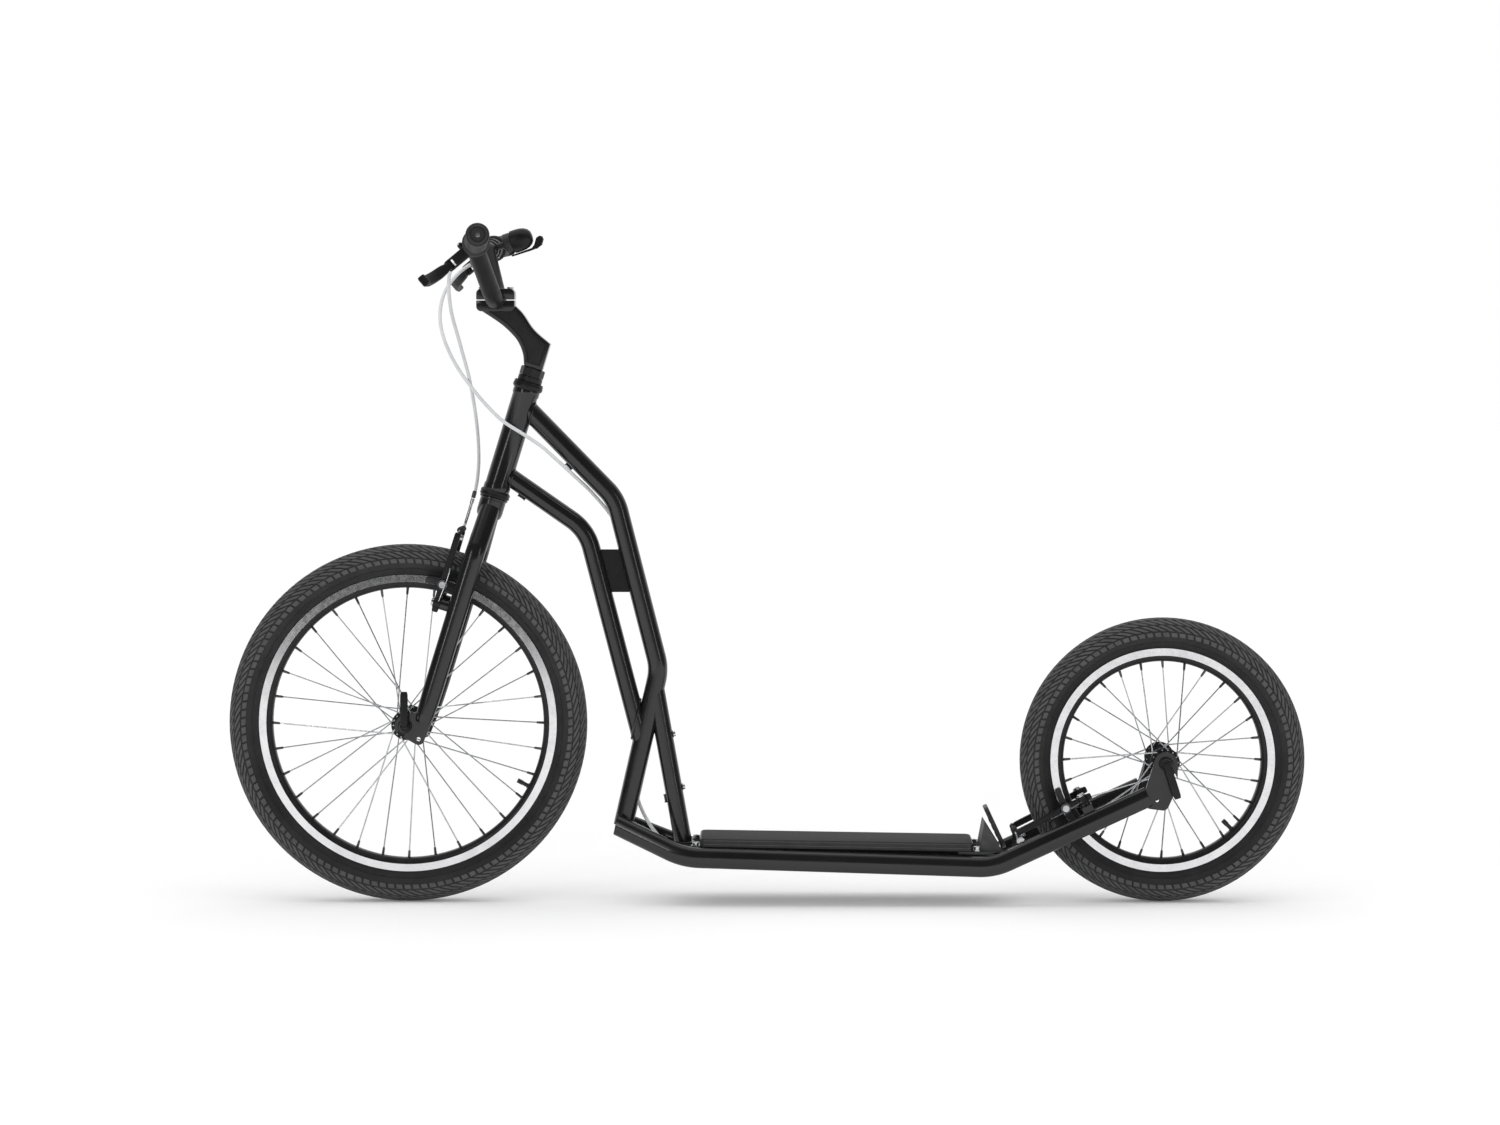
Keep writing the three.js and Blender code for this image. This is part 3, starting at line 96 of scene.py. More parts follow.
DECK_LENGTH = mm(386)
DECK_WIDTH = mm(112)
DECK_THICKNESS = mm(12)
DECK_HEIGHT = mm(95)
DECK_DROP = mm(6)
DECK_FRONT_X = FRONT_AXLE.x + mm(414)
DECK_REAR_X = DECK_FRONT_X + DECK_LENGTH
RAIL_SPACING = mm(120)
RAIL_HEIGHT = mm(29)
RAIL_WIDTH = mm(20)
CLEARANCE = mm(0.3)
HAIR = mm(0.05)
OVERRUN = mm(3)
FORWARD = Vector((1, 0, 0))
ACROSS = Vector((0, 1, 0))
UP = Vector((0, 0, 1))

STEER_UP = Vector((math.sin(HEAD_LEAN), 0, math.cos(HEAD_LEAN)))
STEER_BACK = Vector((math.cos(HEAD_LEAN), 0, -math.sin(HEAD_LEAN)))
STEER_FOOT = FRONT_AXLE + FORK_RAKE * STEER_BACK
HEAD_BOTTOM = STEER_FOOT + FORK_LENGTH * STEER_UP


def basis(x_axis, y_axis, z_axis, origin):
    """A placing matrix from three axes and an origin."""
    turn = Matrix((x_axis, y_axis, z_axis)).transposed().to_4x4()
    return Matrix.Translation(origin) @ turn


STEERING = basis(STEER_BACK, ACROSS, STEER_UP, STEER_FOOT)
COLUMN = STEERING @ Matrix.Rotation(math.radians(90), 4, "X")
MIRROR = Matrix.Diagonal((1, -1, 1, 1))


# Materials


class Surface:
    """A procedural material on one Principled shader, with its nodes added step by step."""

    def __init__(self, name, color, roughness, metallic=0.0, coat=0.0, specular=0.5):
        self.material = bpy.data.materials.new(name)
        self.material.use_nodes = True
        self.tree = self.material.node_tree
        self.shader = self.tree.nodes["Principled BSDF"]
        self.color = color
        self.roughness = roughness
        values = {
            "Base Color": (*color, 1), "Roughness": roughness, "Metallic": metallic, "Coat Weight": coat,
            "Coat Roughness": 0.04, "Specular IOR Level": specular,
        }
        for socket, value in values.items():
            self.shader.inputs[socket].default_value = value
        self.coordinates = self.node("ShaderNodeTexCoord").outputs["Object"]
        self.bumped = None

    def node(self, kind, inputs=(), **settings):
        """A node with its settings and input values."""
        made = self.tree.nodes.new(kind)
        for key, value in settings.items():
            setattr(made, key, value)
        for socket, value in dict(inputs).items():
            made.inputs[socket].default_value = value
        return made

    def link(self, output, target):
        self.tree.links.new(output, target)

    def texture(self, kind, inputs, output, origin=(0, 0, 0), **settings):
        """A texture in the object's own space, round an origin."""
        mapping = self.node("ShaderNodeMapping", {"Location": origin}, vector_type="TEXTURE")
        self.link(self.coordinates, mapping.inputs["Vector"])
        made = self.node(kind, inputs, **settings)
        self.link(mapping.outputs["Vector"], made.inputs["Vector"])
        return made.outputs[output]

    def noise(self, scale, detail):
        return self.texture("ShaderNodeTexNoise", {"Scale": scale, "Detail": detail}, "Fac")

    def ranged(self, value, low, high, from_low, from_high):
        ends = {"From Min": from_low, "From Max": from_high, "To Min": low, "To Max": high}
        spread = self.node("ShaderNodeMapRange", ends)
        self.link(value, spread.inputs["Value"])
        return spread.outputs["Result"]

    def tinted(self, value, other, from_low=0.35, from_high=0.65):
        """The base colour shades into another one where a texture is high."""
        blend = self.node("ShaderNodeMix", data_type="RGBA")
        blend.inputs["A"].default_value = (*self.color, 1)
        blend.inputs["B"].default_value = (*other, 1)
        self.link(self.ranged(value, 0, 1, from_low, from_high), blend.inputs["Factor"])
        self.link(blend.outputs["Result"], self.shader.inputs["Base Color"])
        return self

    def shaded(self, scale, detail, times):
        """The base colour shades into a lighter or darker one of its own kind."""
        return self.tinted(self.noise(scale, detail), [channel * times for channel in self.color])

    def worn(self, scale, detail, spread):
        """The roughness varies by a spread either way."""
        low, high = self.roughness - spread, self.roughness + spread
        varied = self.ranged(self.noise(scale, detail), low, high, 0.3, 0.7)
        self.link(varied, self.shader.inputs["Roughness"])
        return self

    def bump(self, value, depth, strength):
        relief = self.node("ShaderNodeBump", {"Distance": depth, "Strength": strength})
        self.link(value, relief.inputs["Height"])
        if self.bumped:
            self.link(self.bumped, relief.inputs["Normal"])
        self.bumped = relief.outputs["Normal"]
        self.link(self.bumped, self.shader.inputs["Normal"])
        return self

    def grained(self, scale, detail, depth, strength):
        return self.bump(self.noise(scale, detail), depth, strength)


def gloss_paint():
    """Black powder coat: deep gloss, a faint orange peel and a trace of dust."""
    made = Surface("gloss_black_paint", (0.0075, 0.0075, 0.008), 0.2, coat=0.15)
    made.tinted(made.noise(9, 4), (0.0105, 0.0105, 0.011)).worn(35, 4, 0.04)
    return made.grained(420, 2, depth=mm(0.03), strength=0.25).material


def satin_alloy(name, color, roughness):
    """Anodised or painted alloy with a fine blasted grain."""
    made = Surface(name, color, roughness, metallic=0.1, specular=0.3)
    made.shaded(60, 4, 1.5).worn(120, 3, 0.06)
    return made.grained(2600, 2, depth=mm(0.02), strength=0.3).material


def polished_steel(name, color, roughness):
    made = Surface(name, color, roughness, metallic=1.0)
    made.shaded(90, 4, 0.8).worn(200, 3, 0.07)
    return made.grained(1500, 2, depth=mm(0.01), strength=0.2).material


def brake_band(name, axle):
    """The rim's braking surface, machined in fine rings round the axle and lightly worn."""
    made = Surface(name, (0.82, 0.82, 0.83), 0.18, metallic=0.96)
    made.tinted(made.noise(45, 4), (0.74, 0.74, 0.76)).worn(160, 3, 0.04)
    rings = made.texture("ShaderNodeTexWave", {"Scale": 420, "Distortion": 0.4}, "Fac", origin=axle,
                         wave_type="RINGS", rings_direction="Y")
    return made.bump(rings, depth=mm(0.01), strength=0.12).material


def tyre_rubber():
    made = Surface("tyre_rubber", (0.016, 0.016, 0.0165), 0.6, specular=0.4)
    made.tinted(made.noise(22, 5), (0.023, 0.023, 0.0235)).worn(80, 4, 0.1)
    return made.grained(1400, 3, depth=mm(0.06), strength=0.35).material


# The tread is the casing's rubber made lighter: a painted highlight for the light that falls on the raised
# blocks.
def tread_with_painted_light():
    made = Surface("tread_with_painted_light", (0.062, 0.062, 0.063), 0.62)
    made.tinted(made.noise(70, 5), (0.084, 0.084, 0.086)).worn(150, 4, 0.08)
    return made.grained(1700, 3, depth=mm(0.08), strength=0.4).material


def grip_rubber():
    """Soft grip rubber with a fine diamond knurl."""
    made = Surface("grip_rubber", (0.03, 0.03, 0.032), 0.62, specular=0.35)
    made.tinted(made.noise(60, 4), (0.042, 0.042, 0.045))
    cells = made.texture("ShaderNodeTexVoronoi", {"Scale": 520, "Randomness": 0.1}, "Distance",
                         distance="CHEBYCHEV")
    made.bump(cells, depth=mm(0.25), strength=0.45)
    return made.grained(1800, 2, depth=mm(0.05), strength=0.3).material


def moulded_plastic(name, color, roughness, specular=0.5):
    made = Surface(name, color, roughness, specular=specular)
    made.shaded(50, 4, 1.5).worn(110, 3, 0.07)
    return made.grained(1500, 3, depth=mm(0.05), strength=0.35).material


def grip_tape():
    """Gritty anti-slip sheet: dark, with coarse mineral grains that catch the light."""
    made = Surface("deck_grit", (0.016, 0.016, 0.0165), 0.82)
    grains = made.noise(900, 2)
    made.tinted(grains, (0.07, 0.07, 0.072), 0.56, 0.72).bump(grains, depth=mm(0.5), strength=0.8)
    return made.grained(300, 3, depth=mm(0.25), strength=0.4).material


def cable_sleeve():
    made = Surface("cable_sleeve", (0.72, 0.73, 0.745), 0.55)
    made.tinted(made.noise(40, 3), (0.66, 0.67, 0.685)).worn(90, 3, 0.08)
    return made.grained(700, 2, depth=mm(0.04), strength=0.25).material


PAINT = gloss_paint()
ALLOY = satin_alloy("black_alloy", (0.008, 0.008, 0.0085), 0.4)
BAR_BLACK = satin_alloy("bar_black", (0.006, 0.006, 0.0065), 0.46)
RIM_BLACK = satin_alloy("rim_black", (0.012, 0.012, 0.0125), 0.36)
STEEL = polished_steel("bright_steel", (0.66, 0.67, 0.69), 0.24)
DARK_STEEL = polished_steel("dark_steel", (0.12, 0.12, 0.125), 0.34)
SPOKE_STEEL = polished_steel("spoke_steel", (0.6, 0.61, 0.63), 0.3)
RUBBER = tyre_rubber()
# The tread blocks carry a painted highlight: they are lighter than the casing, though they are the same
# rubber.
PAINTED_LIGHT_TREAD = tread_with_painted_light()
GRIP = grip_rubber()
PLASTIC = moulded_plastic("black_plastic", (0.014, 0.014, 0.0145), 0.46)
DARK_RUBBER = moulded_plastic("brake_rubber", (0.02, 0.02, 0.021), 0.7)
LEVER_BLACK = moulded_plastic("lever_black", (0.009, 0.009, 0.0095), 0.56, specular=0.12)
# A mid grey for the black rear bracket: a painted reflection of the bright room on its glossy plate.
PAINTED_REFLECTION_GREY = satin_alloy("painted_reflection_grey", (0.06, 0.06, 0.062), 0.6)
GRIT = grip_tape()
SLEEVE = cable_sleeve()


# Forms: each returns vertices and faces


def scaled(shares, wide, tall=None, origin=(0, 0)):
    """Places from shares of a width and a height beyond an origin. The height is the width if not given."""
    tall = wide if tall is None else tall
    return [(origin[0] + a * wide, origin[1] + b * tall) for a, b in shares]


def sized_discs(shares, size, centre=(0, 0)):
    """Discs of (x, z, radius) from shares of a size, round a centre."""
    return [(centre[0] + x * size, centre[1] + z * size, radius * size) for x, z, radius in shares]


def turned(outline, segments=48):
    """A closed outline of (radius, y) places, turned about the Y axis."""
    verts = []
    for step in range(segments):
        angle = math.tau * step / segments
        verts += [Vector((r * math.cos(angle), y, r * math.sin(angle))) for r, y in outline]
    count = len(outline)
    faces = []
    for here in range(0, segments * count, count):
        there = (here + count) % (segments * count)
        for i in range(count):
            j = (i + 1) % count
            faces.append([here + i, here + j, there + j, there + i])
    return verts, faces


def lofted(rings):
    """A skin over rings of equally many places, with flat ends."""
    count = len(rings[0])
    last = (len(rings) - 1) * count
    faces = [list(range(count)), list(range(last, last + count))]
    for here in range(0, last, count):
        for i in range(count):
            j = (i + 1) % count
            faces.append([here + i, here + j, here + count + j, here + count + i])
    return [place for ring in rings for place in ring], faces


def circle_ring(centre, across, up, radius, up_radius=None, segments=20):
    tall = radius if up_radius is None else up_radius
    angles = [math.tau * i / segments for i in range(segments)]
    return [centre + radius * math.cos(a) * across + tall * math.sin(a) * up for a in angles]


def rounded_box_ring(centre, across, up, half_wide, half_tall, corner_share=0.45, steps=4):
    """A ring shaped as a box with rounded corners."""
    radius = corner_share * min(half_wide, half_tall)
    ring = []
    for k, (sx, sz) in enumerate(((1, 1), (-1, 1), (-1, -1), (1, -1))):
        middle = centre + across * sx * (half_wide - radius) + up * sz * (half_tall - radius)
        for step in range(steps + 1):
            angle = math.pi / 2 * (k + step / steps)
            ring.append(middle + radius * (math.cos(angle) * across + math.sin(angle) * up))
    return ring


def frame_round(heading, sideways=ACROSS):
    """Two directions square to a heading, the first as near sideways as it can be."""
    across = (sideways - sideways.dot(heading) * heading).normalized()
    return across, heading.cross(across)


def rod(start, end, radius, end_radius=None, segments=24):
    heading = (end - start).normalized()
    across, up = frame_round(heading, ACROSS if abs(heading.y) < 0.9 else FORWARD)
    last = radius if end_radius is None else end_radius
    return lofted([circle_ring(place, across, up, size, segments=segments)
                   for place, size in ((start, radius), (end, last))])


def rounded_path(corners, bend_radius, steps=14):
    """Places and headings along straight runs whose corners are rounded off."""
    legs = [b - a for a, b in zip(corners, corners[1:])]
    path = [(corners[0], legs[0].normalized())]
    for corner, leg_in, leg_out in zip(corners[1:], legs, legs[1:]):
        inward, outward = leg_in.normalized(), leg_out.normalized()
        angle = inward.angle(outward)
        reach = min(bend_radius * math.tan(angle / 2), min(leg_in.length, leg_out.length) / 2)
        radius = reach / math.tan(angle / 2)
        side = (outward - inward * math.cos(angle)).normalized()
        start = corner - reach * inward
        for step in range(steps + 1):
            turn = angle * step / steps
            place = start + radius * (math.sin(turn) * inward + (1 - math.cos(turn)) * side)
            path.append((place, math.cos(turn) * inward + math.sin(turn) * side))
    path.append((corners[-1], legs[-1].normalized()))
    return path


def swept(path, radius, sideways=ACROSS, segments=28):
    """A round bar along a path of places and headings."""
    return lofted([circle_ring(place, *frame_round(heading, sideways), radius, segments=segments)
                   for place, heading in path])


def plate(outline, low, high):
    """A flat plate across Y from an outline of (x, z) places."""
    return lofted([[Vector((x, y, z)) for x, z in outline] for y in (low, high)])


def block(low, high):
    return plate([(low.x, low.z), (high.x, low.z), (high.x, high.z), (low.x, high.z)], low.y, high.y)


def slab(outline, layers):
    """A flat slab in the XY plane from (height, inset) layers."""
    return lofted([[Vector((x, y, z)) for x, y in inset_outline(outline, inset)] for z, inset in layers])


def round_hull(discs, segments=32):
    """The outline round a set of (x, z, radius) discs."""
    turns = [math.tau * i / segments for i in range(segments)]
    places = sorted((x + r * math.cos(turn), z + r * math.sin(turn)) for x, z, r in discs for turn in turns)

    def bends_out(a, b, c):
        return (b[0] - a[0]) * (c[1] - a[1]) - (b[1] - a[1]) * (c[0] - a[0]) > 1e-12

    def half(run):
        chain = []
        for place in run:
            while len(chain) > 1 and not bends_out(chain[-2], chain[-1], place):
                chain.pop()
            chain.append(place)
        return chain[:-1]

    return half(places) + half(places[::-1])


def rounded_rectangle(length, width, radius, steps=8):
    ring = rounded_box_ring(Vector(), FORWARD, ACROSS, length / 2, width / 2,
                            2 * radius / min(length, width), steps)
    return [(place.x, place.y) for place in ring]


def smooth_line(points, steps):
    """A smooth line through a list of places, as Catmull-Rom stretches."""
    ends = [2 * points[0] - points[1], *points, 2 * points[-1] - points[-2]]
    line = []
    for a, b, c, d in zip(ends, ends[1:], ends[2:], ends[3:]):
        for step in range(steps):
            t = step / steps
            cubic = (2 * a - 5 * b + 4 * c - d) * t**2 + (3 * b - a - 3 * c + d) * t**3
            line.append((2 * b + (c - a) * t + cubic) / 2)
    line.append(points[-1])
    return line


def with_headings(line):
    """Each place of a line with the heading there."""
    around = zip([line[0], *line[:-1]], line, [*line[1:], line[-1]])
    return [(here, (after - before).normalized()) for before, here, after in around]


def tidy_mesh(mesh):
    """Places that coincide are joined, and every face is turned outwards."""
    shell = bmesh.new()
    shell.from_mesh(mesh)
    bmesh.ops.remove_doubles(shell, verts=shell.verts, dist=1e-7)
    bmesh.ops.dissolve_degenerate(shell, edges=shell.edges, dist=1e-7)
    bmesh.ops.recalc_face_normals(shell, faces=shell.faces)
    shell.to_mesh(mesh)
    shell.free()


def new_object(name, verts, faces, slots=()):
    mesh = bpy.data.meshes.new(name)
    mesh.from_pydata(verts, [], faces)
    if slots:
        mesh.polygons.foreach_set("material_index", slots)
    tidy_mesh(mesh)
    made = bpy.data.objects.new(name, mesh)
    bpy.context.scene.collection.objects.link(made)
    return made


def carved(form, *cutters):
    """A form with other forms cut out of it."""
    target, *tools = [new_object("loose", *each) for each in (form, *cutters)]
    for tool in tools:
        step = target.modifiers.new("cut", "BOOLEAN")
        step.object = tool
        step.solver = "EXACT"
    bpy.context.view_layer.update()
    whole = target.evaluated_get(bpy.context.evaluated_depsgraph_get()).to_mesh()
    verts = [vert.co.copy() for vert in whole.vertices]
    faces = [list(face.vertices) for face in whole.polygons]
    for used in (target, *tools):
        bpy.data.objects.remove(used, do_unlink=True)
    return verts, faces


def socket_screw(start, heading, radius, length):
    """A cylinder-headed screw with a hexagonal socket in its top."""
    top = start + heading * length
    head = rod(start, top, radius, segments=32)
    return carved(head, rod(top - heading * length * 0.6, top + heading * length, radius * 0.55, segments=6))


class Shape:
    """One piece's forms, gathered and then built as a single mesh."""

    def __init__(self):
        self.verts = []
        self.faces = []
        self.slots = []

    def add(self, form, place=Matrix(), slot=0):
        verts, faces = form
        start = len(self.verts)
        self.verts += [place @ vert for vert in verts]
        self.faces += [[start + i for i in face] for face in faces]
        self.slots += [slot] * len(faces)
        return self

    def add_rods(self, start, heading, size, shares, place=Matrix(), slot=0, segments=24):
        """Rods along one line, each with its shares of a size: where it starts and ends, and its radii."""
        for low, high, *radii in shares:
            ends = [start + heading * share * size for share in (low, high)]
            self.add(rod(*ends, *[share * size for share in radii], segments=segments), place, slot)
        return self

    def add_bolt(self, start, heading, washer_radius, shares, place=Matrix()):
        """A washer with a socket screw. The shares are its height and the head's radius and height."""
        thick, radius, length = [share * washer_radius for share in shares]
        seat = start + heading * thick
        self.add(rod(start, seat, washer_radius, segments=32), place)
        return self.add(socket_screw(seat, heading, radius, length), place)

    def build(self, name, body, materials, slot, bevel=0.0, replaces=()):
        piece = new_object(name, self.verts, self.faces, self.slots)
        piece.data.shade_smooth()
        piece.data.set_sharp_from_angle(angle=math.radians(32))
        for material in materials:
            piece.data.materials.append(material)
        if bevel:
            edge = piece.modifiers.new("edges", "BEVEL")
            edge.width = bevel
            edge.segments = 2
            edge.limit_method = "ANGLE"
            edge.angle_limit = math.radians(50)
        if body:
            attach(piece, body)
        if replaces:
            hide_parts(*replaces)
        return piece

    def dress(self, node, body, materials, slot, bevel=0.0):
        """The shape takes the place of one of the frame's nodes."""
        return self.build(node + "_dressed", body, materials, slot, bevel, [node])


# Outlines drawn in, plates with rounded edges and weld beads


def distance_to_outline(place, outline):
    least = math.inf
    for start, end in zip(outline, [*outline[1:], outline[0]]):
        run = end - start
        share = (place - start).dot(run) / max(run.length_squared, 1e-12)
        least = min(least, (place - start - min(1, max(0, share)) * run).length)
    return least


def inset_outline(outline, distance):
    """An outline drawn in by a distance; places that would cross over fall onto their neighbours."""
    if not distance:
        return list(outline)
    places = [Vector(place) for place in outline]
    count = len(places)
    turn = math.copysign(1, sum(places[i - 1].cross(places[i]) for i in range(count)))
    drawn = []
    for i, place in enumerate(places):
        before = (place - places[i - 1]).normalized()
        after = (places[(i + 1) % count] - place).normalized()
        inward = (before + after).orthogonal().normalized() * turn
        drawn.append(place + inward * distance / max(0.5, inward.dot(before.orthogonal() * turn)))
    kept = [i for i in range(count) if distance_to_outline(drawn[i], places) > 0.93 * abs(distance)]
    nearest = [min(kept, key=lambda j: min((i - j) % count, (j - i) % count)) for i in range(count)]
    return [tuple(drawn[i]) for i in nearest]


def pillowed(outline, half, rounding, steps=4, pocket=0.0):
    """A plate across Y with rounded edges, and a shallow pocket in each face if asked."""
    turns = [math.pi / 2 * step / steps for step in range(steps + 1)]
    layers = [(half - rounding + rounding * math.sin(t), rounding * (1 - math.cos(t))) for t in turns]
    if pocket:
        rim_width = rounding + 3 * pocket
        layers += [(half, rim_width), (half - pocket, rim_width + 0.6 * pocket)]
    sides = [(-y, inset) for y, inset in layers[::-1]] + layers
    return lofted([[Vector((x, y, z)) for x, z in inset_outline(outline, inset)] for y, inset in sides])


WELD_THICKNESS = mm(1.6)
WELD_LIFT = mm(0.4)


def weld_bead(centre, heading, normal, radius, thickness=WELD_THICKNESS):
    """A closed bead round a tube where it meets a flat that is square to the normal."""
    across, up = frame_round(heading)
    line = [place + heading * (centre - place).dot(normal) / heading.dot(normal)
            for place in circle_ring(centre, across, up, radius, segments=40)]
    return swept(with_headings([*line, line[0]]), thickness, normal, 10)


# Wheels

TYRE_HALF = mm(25)
TREAD_HEIGHT = mm(1.3)
TREAD_PITCH = mm(13)
WHEEL_SEGMENTS = 144
CASING_SHARES = [
    (-0.2, 0.392), (0.06, 0.424), (0.24, 0.568), (0.44, 0.76), (0.64, 0.904), (0.84, 0.976), (1.04, 0.984),
    (1.24, 0.904), (1.42, 0.744), (1.56, 0.52), (1.64, 0.264), (1.668, 0),
]
TYRE_INSIDE_SHARES = [(-0.2, -0.28), (0.72, -0.68), (1.48, 0), (0.72, 0.68), (-0.2, 0.28)]
# Each row of blocks: its ends along the casing in tyre halves, its slant and its width in pitches
TREAD_ROW_SHARES = [(1.344, 1.616, -0.15, 0.84), (0.944, 1.312, -1.7, 0.7), (0.512, 0.912, -1.7, 0.7),
                    (0.056, 0.48, -1.3, 0.7)]
BLOCK_LAYER_SHARES = [(-0.4, 1), (1, 0.84)]
BLOCK_EDGE_SHARES = [(0, 0.5), (0.33, 0.5), (0.67, 0.5), (1, 0.5), (1, -0.5), (0.67, -0.5), (0.33, -0.5),
                     (0, -0.5)]
RIDGE_PLACE_SHARES = [(0.344, 0.682), (0.688, 0.94)]
RIDGE_SHARES = [(-0.024, -0.04), (-0.012, 0.01), (0.012, 0.022), (0.024, -0.016)]


def mirrored_half(half):
    """A line from one side to the middle, carried on to the other side."""
    return half + [(r, -y) for r, y in half[-2::-1]]


def other_side(outline, side):
    return [(r, side * y) for r, y in outline]


def casing_line(rim_radius):
    """The casing from its left bead over the crown to its right bead, as (radius, y) places."""
    half = [Vector(place) for place in scaled(CASING_SHARES, TYRE_HALF, origin=(rim_radius, 0))]
    return mirrored_half([tuple(place) for place in smooth_line(half, 4)])


def along_casing(line, distance):
    """The place and outward direction at a distance from the crown, measured over the casing."""
    crown = len(line) // 2
    walked = 0
    for (r0, y0), (r1, y1) in zip(line[crown:], line[crown + 1:]):
        step = math.hypot(r1 - r0, y1 - y0)
        if walked + step >= distance:
            share = (distance - walked) / step
            out = Vector((y0 - y1, r1 - r0)).normalized()
            return r0 + share * (r1 - r0), y0 + share * (y1 - y0), out
        walked += step
    raise ValueError("the distance is beyond the bead")


def tread_block(line, row, angle, pitch_angle, side):
    """One raised block, slanted along the tyre and tapered to its top."""
    inner, outer, slant, width = row
    verts = []
    for lift, taper in BLOCK_LAYER_SHARES:
        for along, aside in BLOCK_EDGE_SHARES:
            inset = (along - 0.5) * taper + 0.5
            r, y, out = along_casing(line, (inner + inset * (outer - inner)) * TYRE_HALF)
            here = angle + (aside * width * taper + slant * (inset - 0.5)) * pitch_angle
            r += lift * TREAD_HEIGHT * out.x
            y += lift * TREAD_HEIGHT * out.y
            verts.append(Vector((r * math.cos(here), side * y, r * math.sin(here))))
    faces = [[i, (i + 1) % 8, 8 + (i + 1) % 8, 8 + i] for i in range(8)]
    for i in range(3):
        faces += [[8 + i, 9 + i, 14 - i, 15 - i], [i, 1 + i, 6 - i, 7 - i]]
    return verts, faces


def tyre(name, place, rim_radius):
    line = casing_line(rim_radius)
    inside = scaled(TYRE_INSIDE_SHARES, TYRE_HALF, origin=(rim_radius, 0))
    shape = Shape().add(turned(line + inside, WHEEL_SEGMENTS), place)
    count = round(math.tau * (rim_radius + TYRE_HEIGHT) / TREAD_PITCH)
    pitch_angle = math.tau / count
    for side in (-1, 1):
        for row in TREAD_ROW_SHARES:
            for k in range(count):
                angle = (k + side * 0.25) * pitch_angle
                # Slot 1 is the blocks' lighter rubber, a painted highlight for the light on them.
                shape.add(tread_block(line, row, angle, pitch_angle, side), place, 1)
        for lift, half in RIDGE_PLACE_SHARES:
            foot = (rim_radius + lift * TYRE_HALF, half * TYRE_HALF)
            ridge = other_side(scaled(RIDGE_SHARES, TYRE_HALF, origin=foot), side)
            shape.add(turned(ridge, WHEEL_SEGMENTS), place)
    shape.dress(name + "_tyre", name + "_wheel", [RUBBER, PAINTED_LIGHT_TREAD], "tyre")


RIM_HALF = mm(12.5)
RIM_DEPTH = mm(19)
RIM_SHARES = [
    (0, 0.912), (-0.864, 0.976), (-0.896, 0.928), (-1.12, 0.872), (-1.392, 0.672), (-1.512, 0.4), (-1.52, 0),
]
RIM_CHANNEL_SHARES = [(0, -0.84), (-0.96, -0.824), (-1.04, -0.64), (-1.04, 0.64), (-0.96, 0.824), (0, 0.84)]
RIM_BAND_SHARES = [(-0.008, 1), (-0.84, 1), (-0.848, 0.864), (-0.008, 0.864)]
RIM_BAND_LEAN = {"front": mm(0.8), "rear": 0}


def rim(name, axle, place, rim_radius):
    foot = (rim_radius, 0)
    outer = mirrored_half(scaled(RIM_SHARES, RIM_HALF, origin=foot))
    channel = scaled(RIM_CHANNEL_SHARES, RIM_HALF, origin=foot)
    shape = Shape().add(turned(outer + channel, WHEEL_SEGMENTS), place)
    (edge, width), *band = scaled(RIM_BAND_SHARES, RIM_HALF, origin=foot)
    band = [(edge, width - RIM_BAND_LEAN[name]), *band]
    for side in (-1, 1):
        shape.add(turned(other_side(band, side), WHEEL_SEGMENTS), place, 1)
    materials = [RIM_BLACK, brake_band(name + "_brake_band", axle)]
    shape.dress(name + "_rim", name + "_wheel", materials, "rim")


FLANGE_RADIUS = mm(21)
FLANGE_HALF = mm(1.5)
HUB_CONE_LENGTH = mm(9)
HUB_BARREL = mm(12)
HUB_SHOULDER = mm(8.4)
HUB_BORE = mm(5.4)
HUB_SHARES = [
    (0.581, -1), (0.69, -0.444), (0.857, -0.2), (0.971, -0.167), (1, -0.1), (1, 0.1), (0.971, 0.167),
    (0.714, 0.2), (0.667, 0.444), (0.524, 0.556), (0.4, 0.667),
]
SPOKE_RADIUS = mm(1)
SPOKE_HEAD_INSET = mm(3.2)
SPOKE_HEAD_SHARES = [(-2.1, 2.1, 1.2)]
SPOKE_SEAT_INSET = mm(2.6)
SPOKE_SEAT_OUT = mm(1.9)
SPOKE_FOOT_OUT = mm(1.8)
NIPPLE_SHARES = [(-1, 9, 2, 1.7), (9, 10.5, 1.7, 1.1)]


def spun(angle):
    """The direction at an angle round a wheel."""
    return Vector((math.cos(angle), 0, math.sin(angle)))


def flange_place(hub_half):
    return hub_half - HUB_CONE_LENGTH - 2 * FLANGE_HALF


def spoke_angles(i, spoke_count, side):
    """The rim and hub angles of one side's spoke: every other one leads and the rest trail."""
    pitch = 2 * math.tau / spoke_count
    rim_angle = i * pitch + (pitch / 2 if side > 0 else 0)
    return rim_angle, rim_angle + (-2 if i % 2 else 2) * pitch


def hub(name, place, hub_half, spoke_count):
    flange = flange_place(hub_half)
    half = [(HUB_BARREL, 0), *scaled(HUB_SHARES, FLANGE_RADIUS, HUB_CONE_LENGTH, (0, flange)),
            (HUB_SHOULDER, hub_half), (HUB_BORE, hub_half)]
    shape = Shape().add(turned(mirrored_half(half[::-1])), place)
    for side in (-1, 1):
        for i in range(spoke_count // 2):
            angle = spoke_angles(i, spoke_count, side)[1]
            head = spun(angle) * (FLANGE_RADIUS - SPOKE_HEAD_INSET) + ACROSS * side * flange
            shape.add_rods(head, ACROSS, SPOKE_RADIUS, SPOKE_HEAD_SHARES, place, 1, 10)
    shape.dress(name + "_hub", name + "_wheel", [ALLOY, SPOKE_STEEL], "black_alloy", mm(0.3))


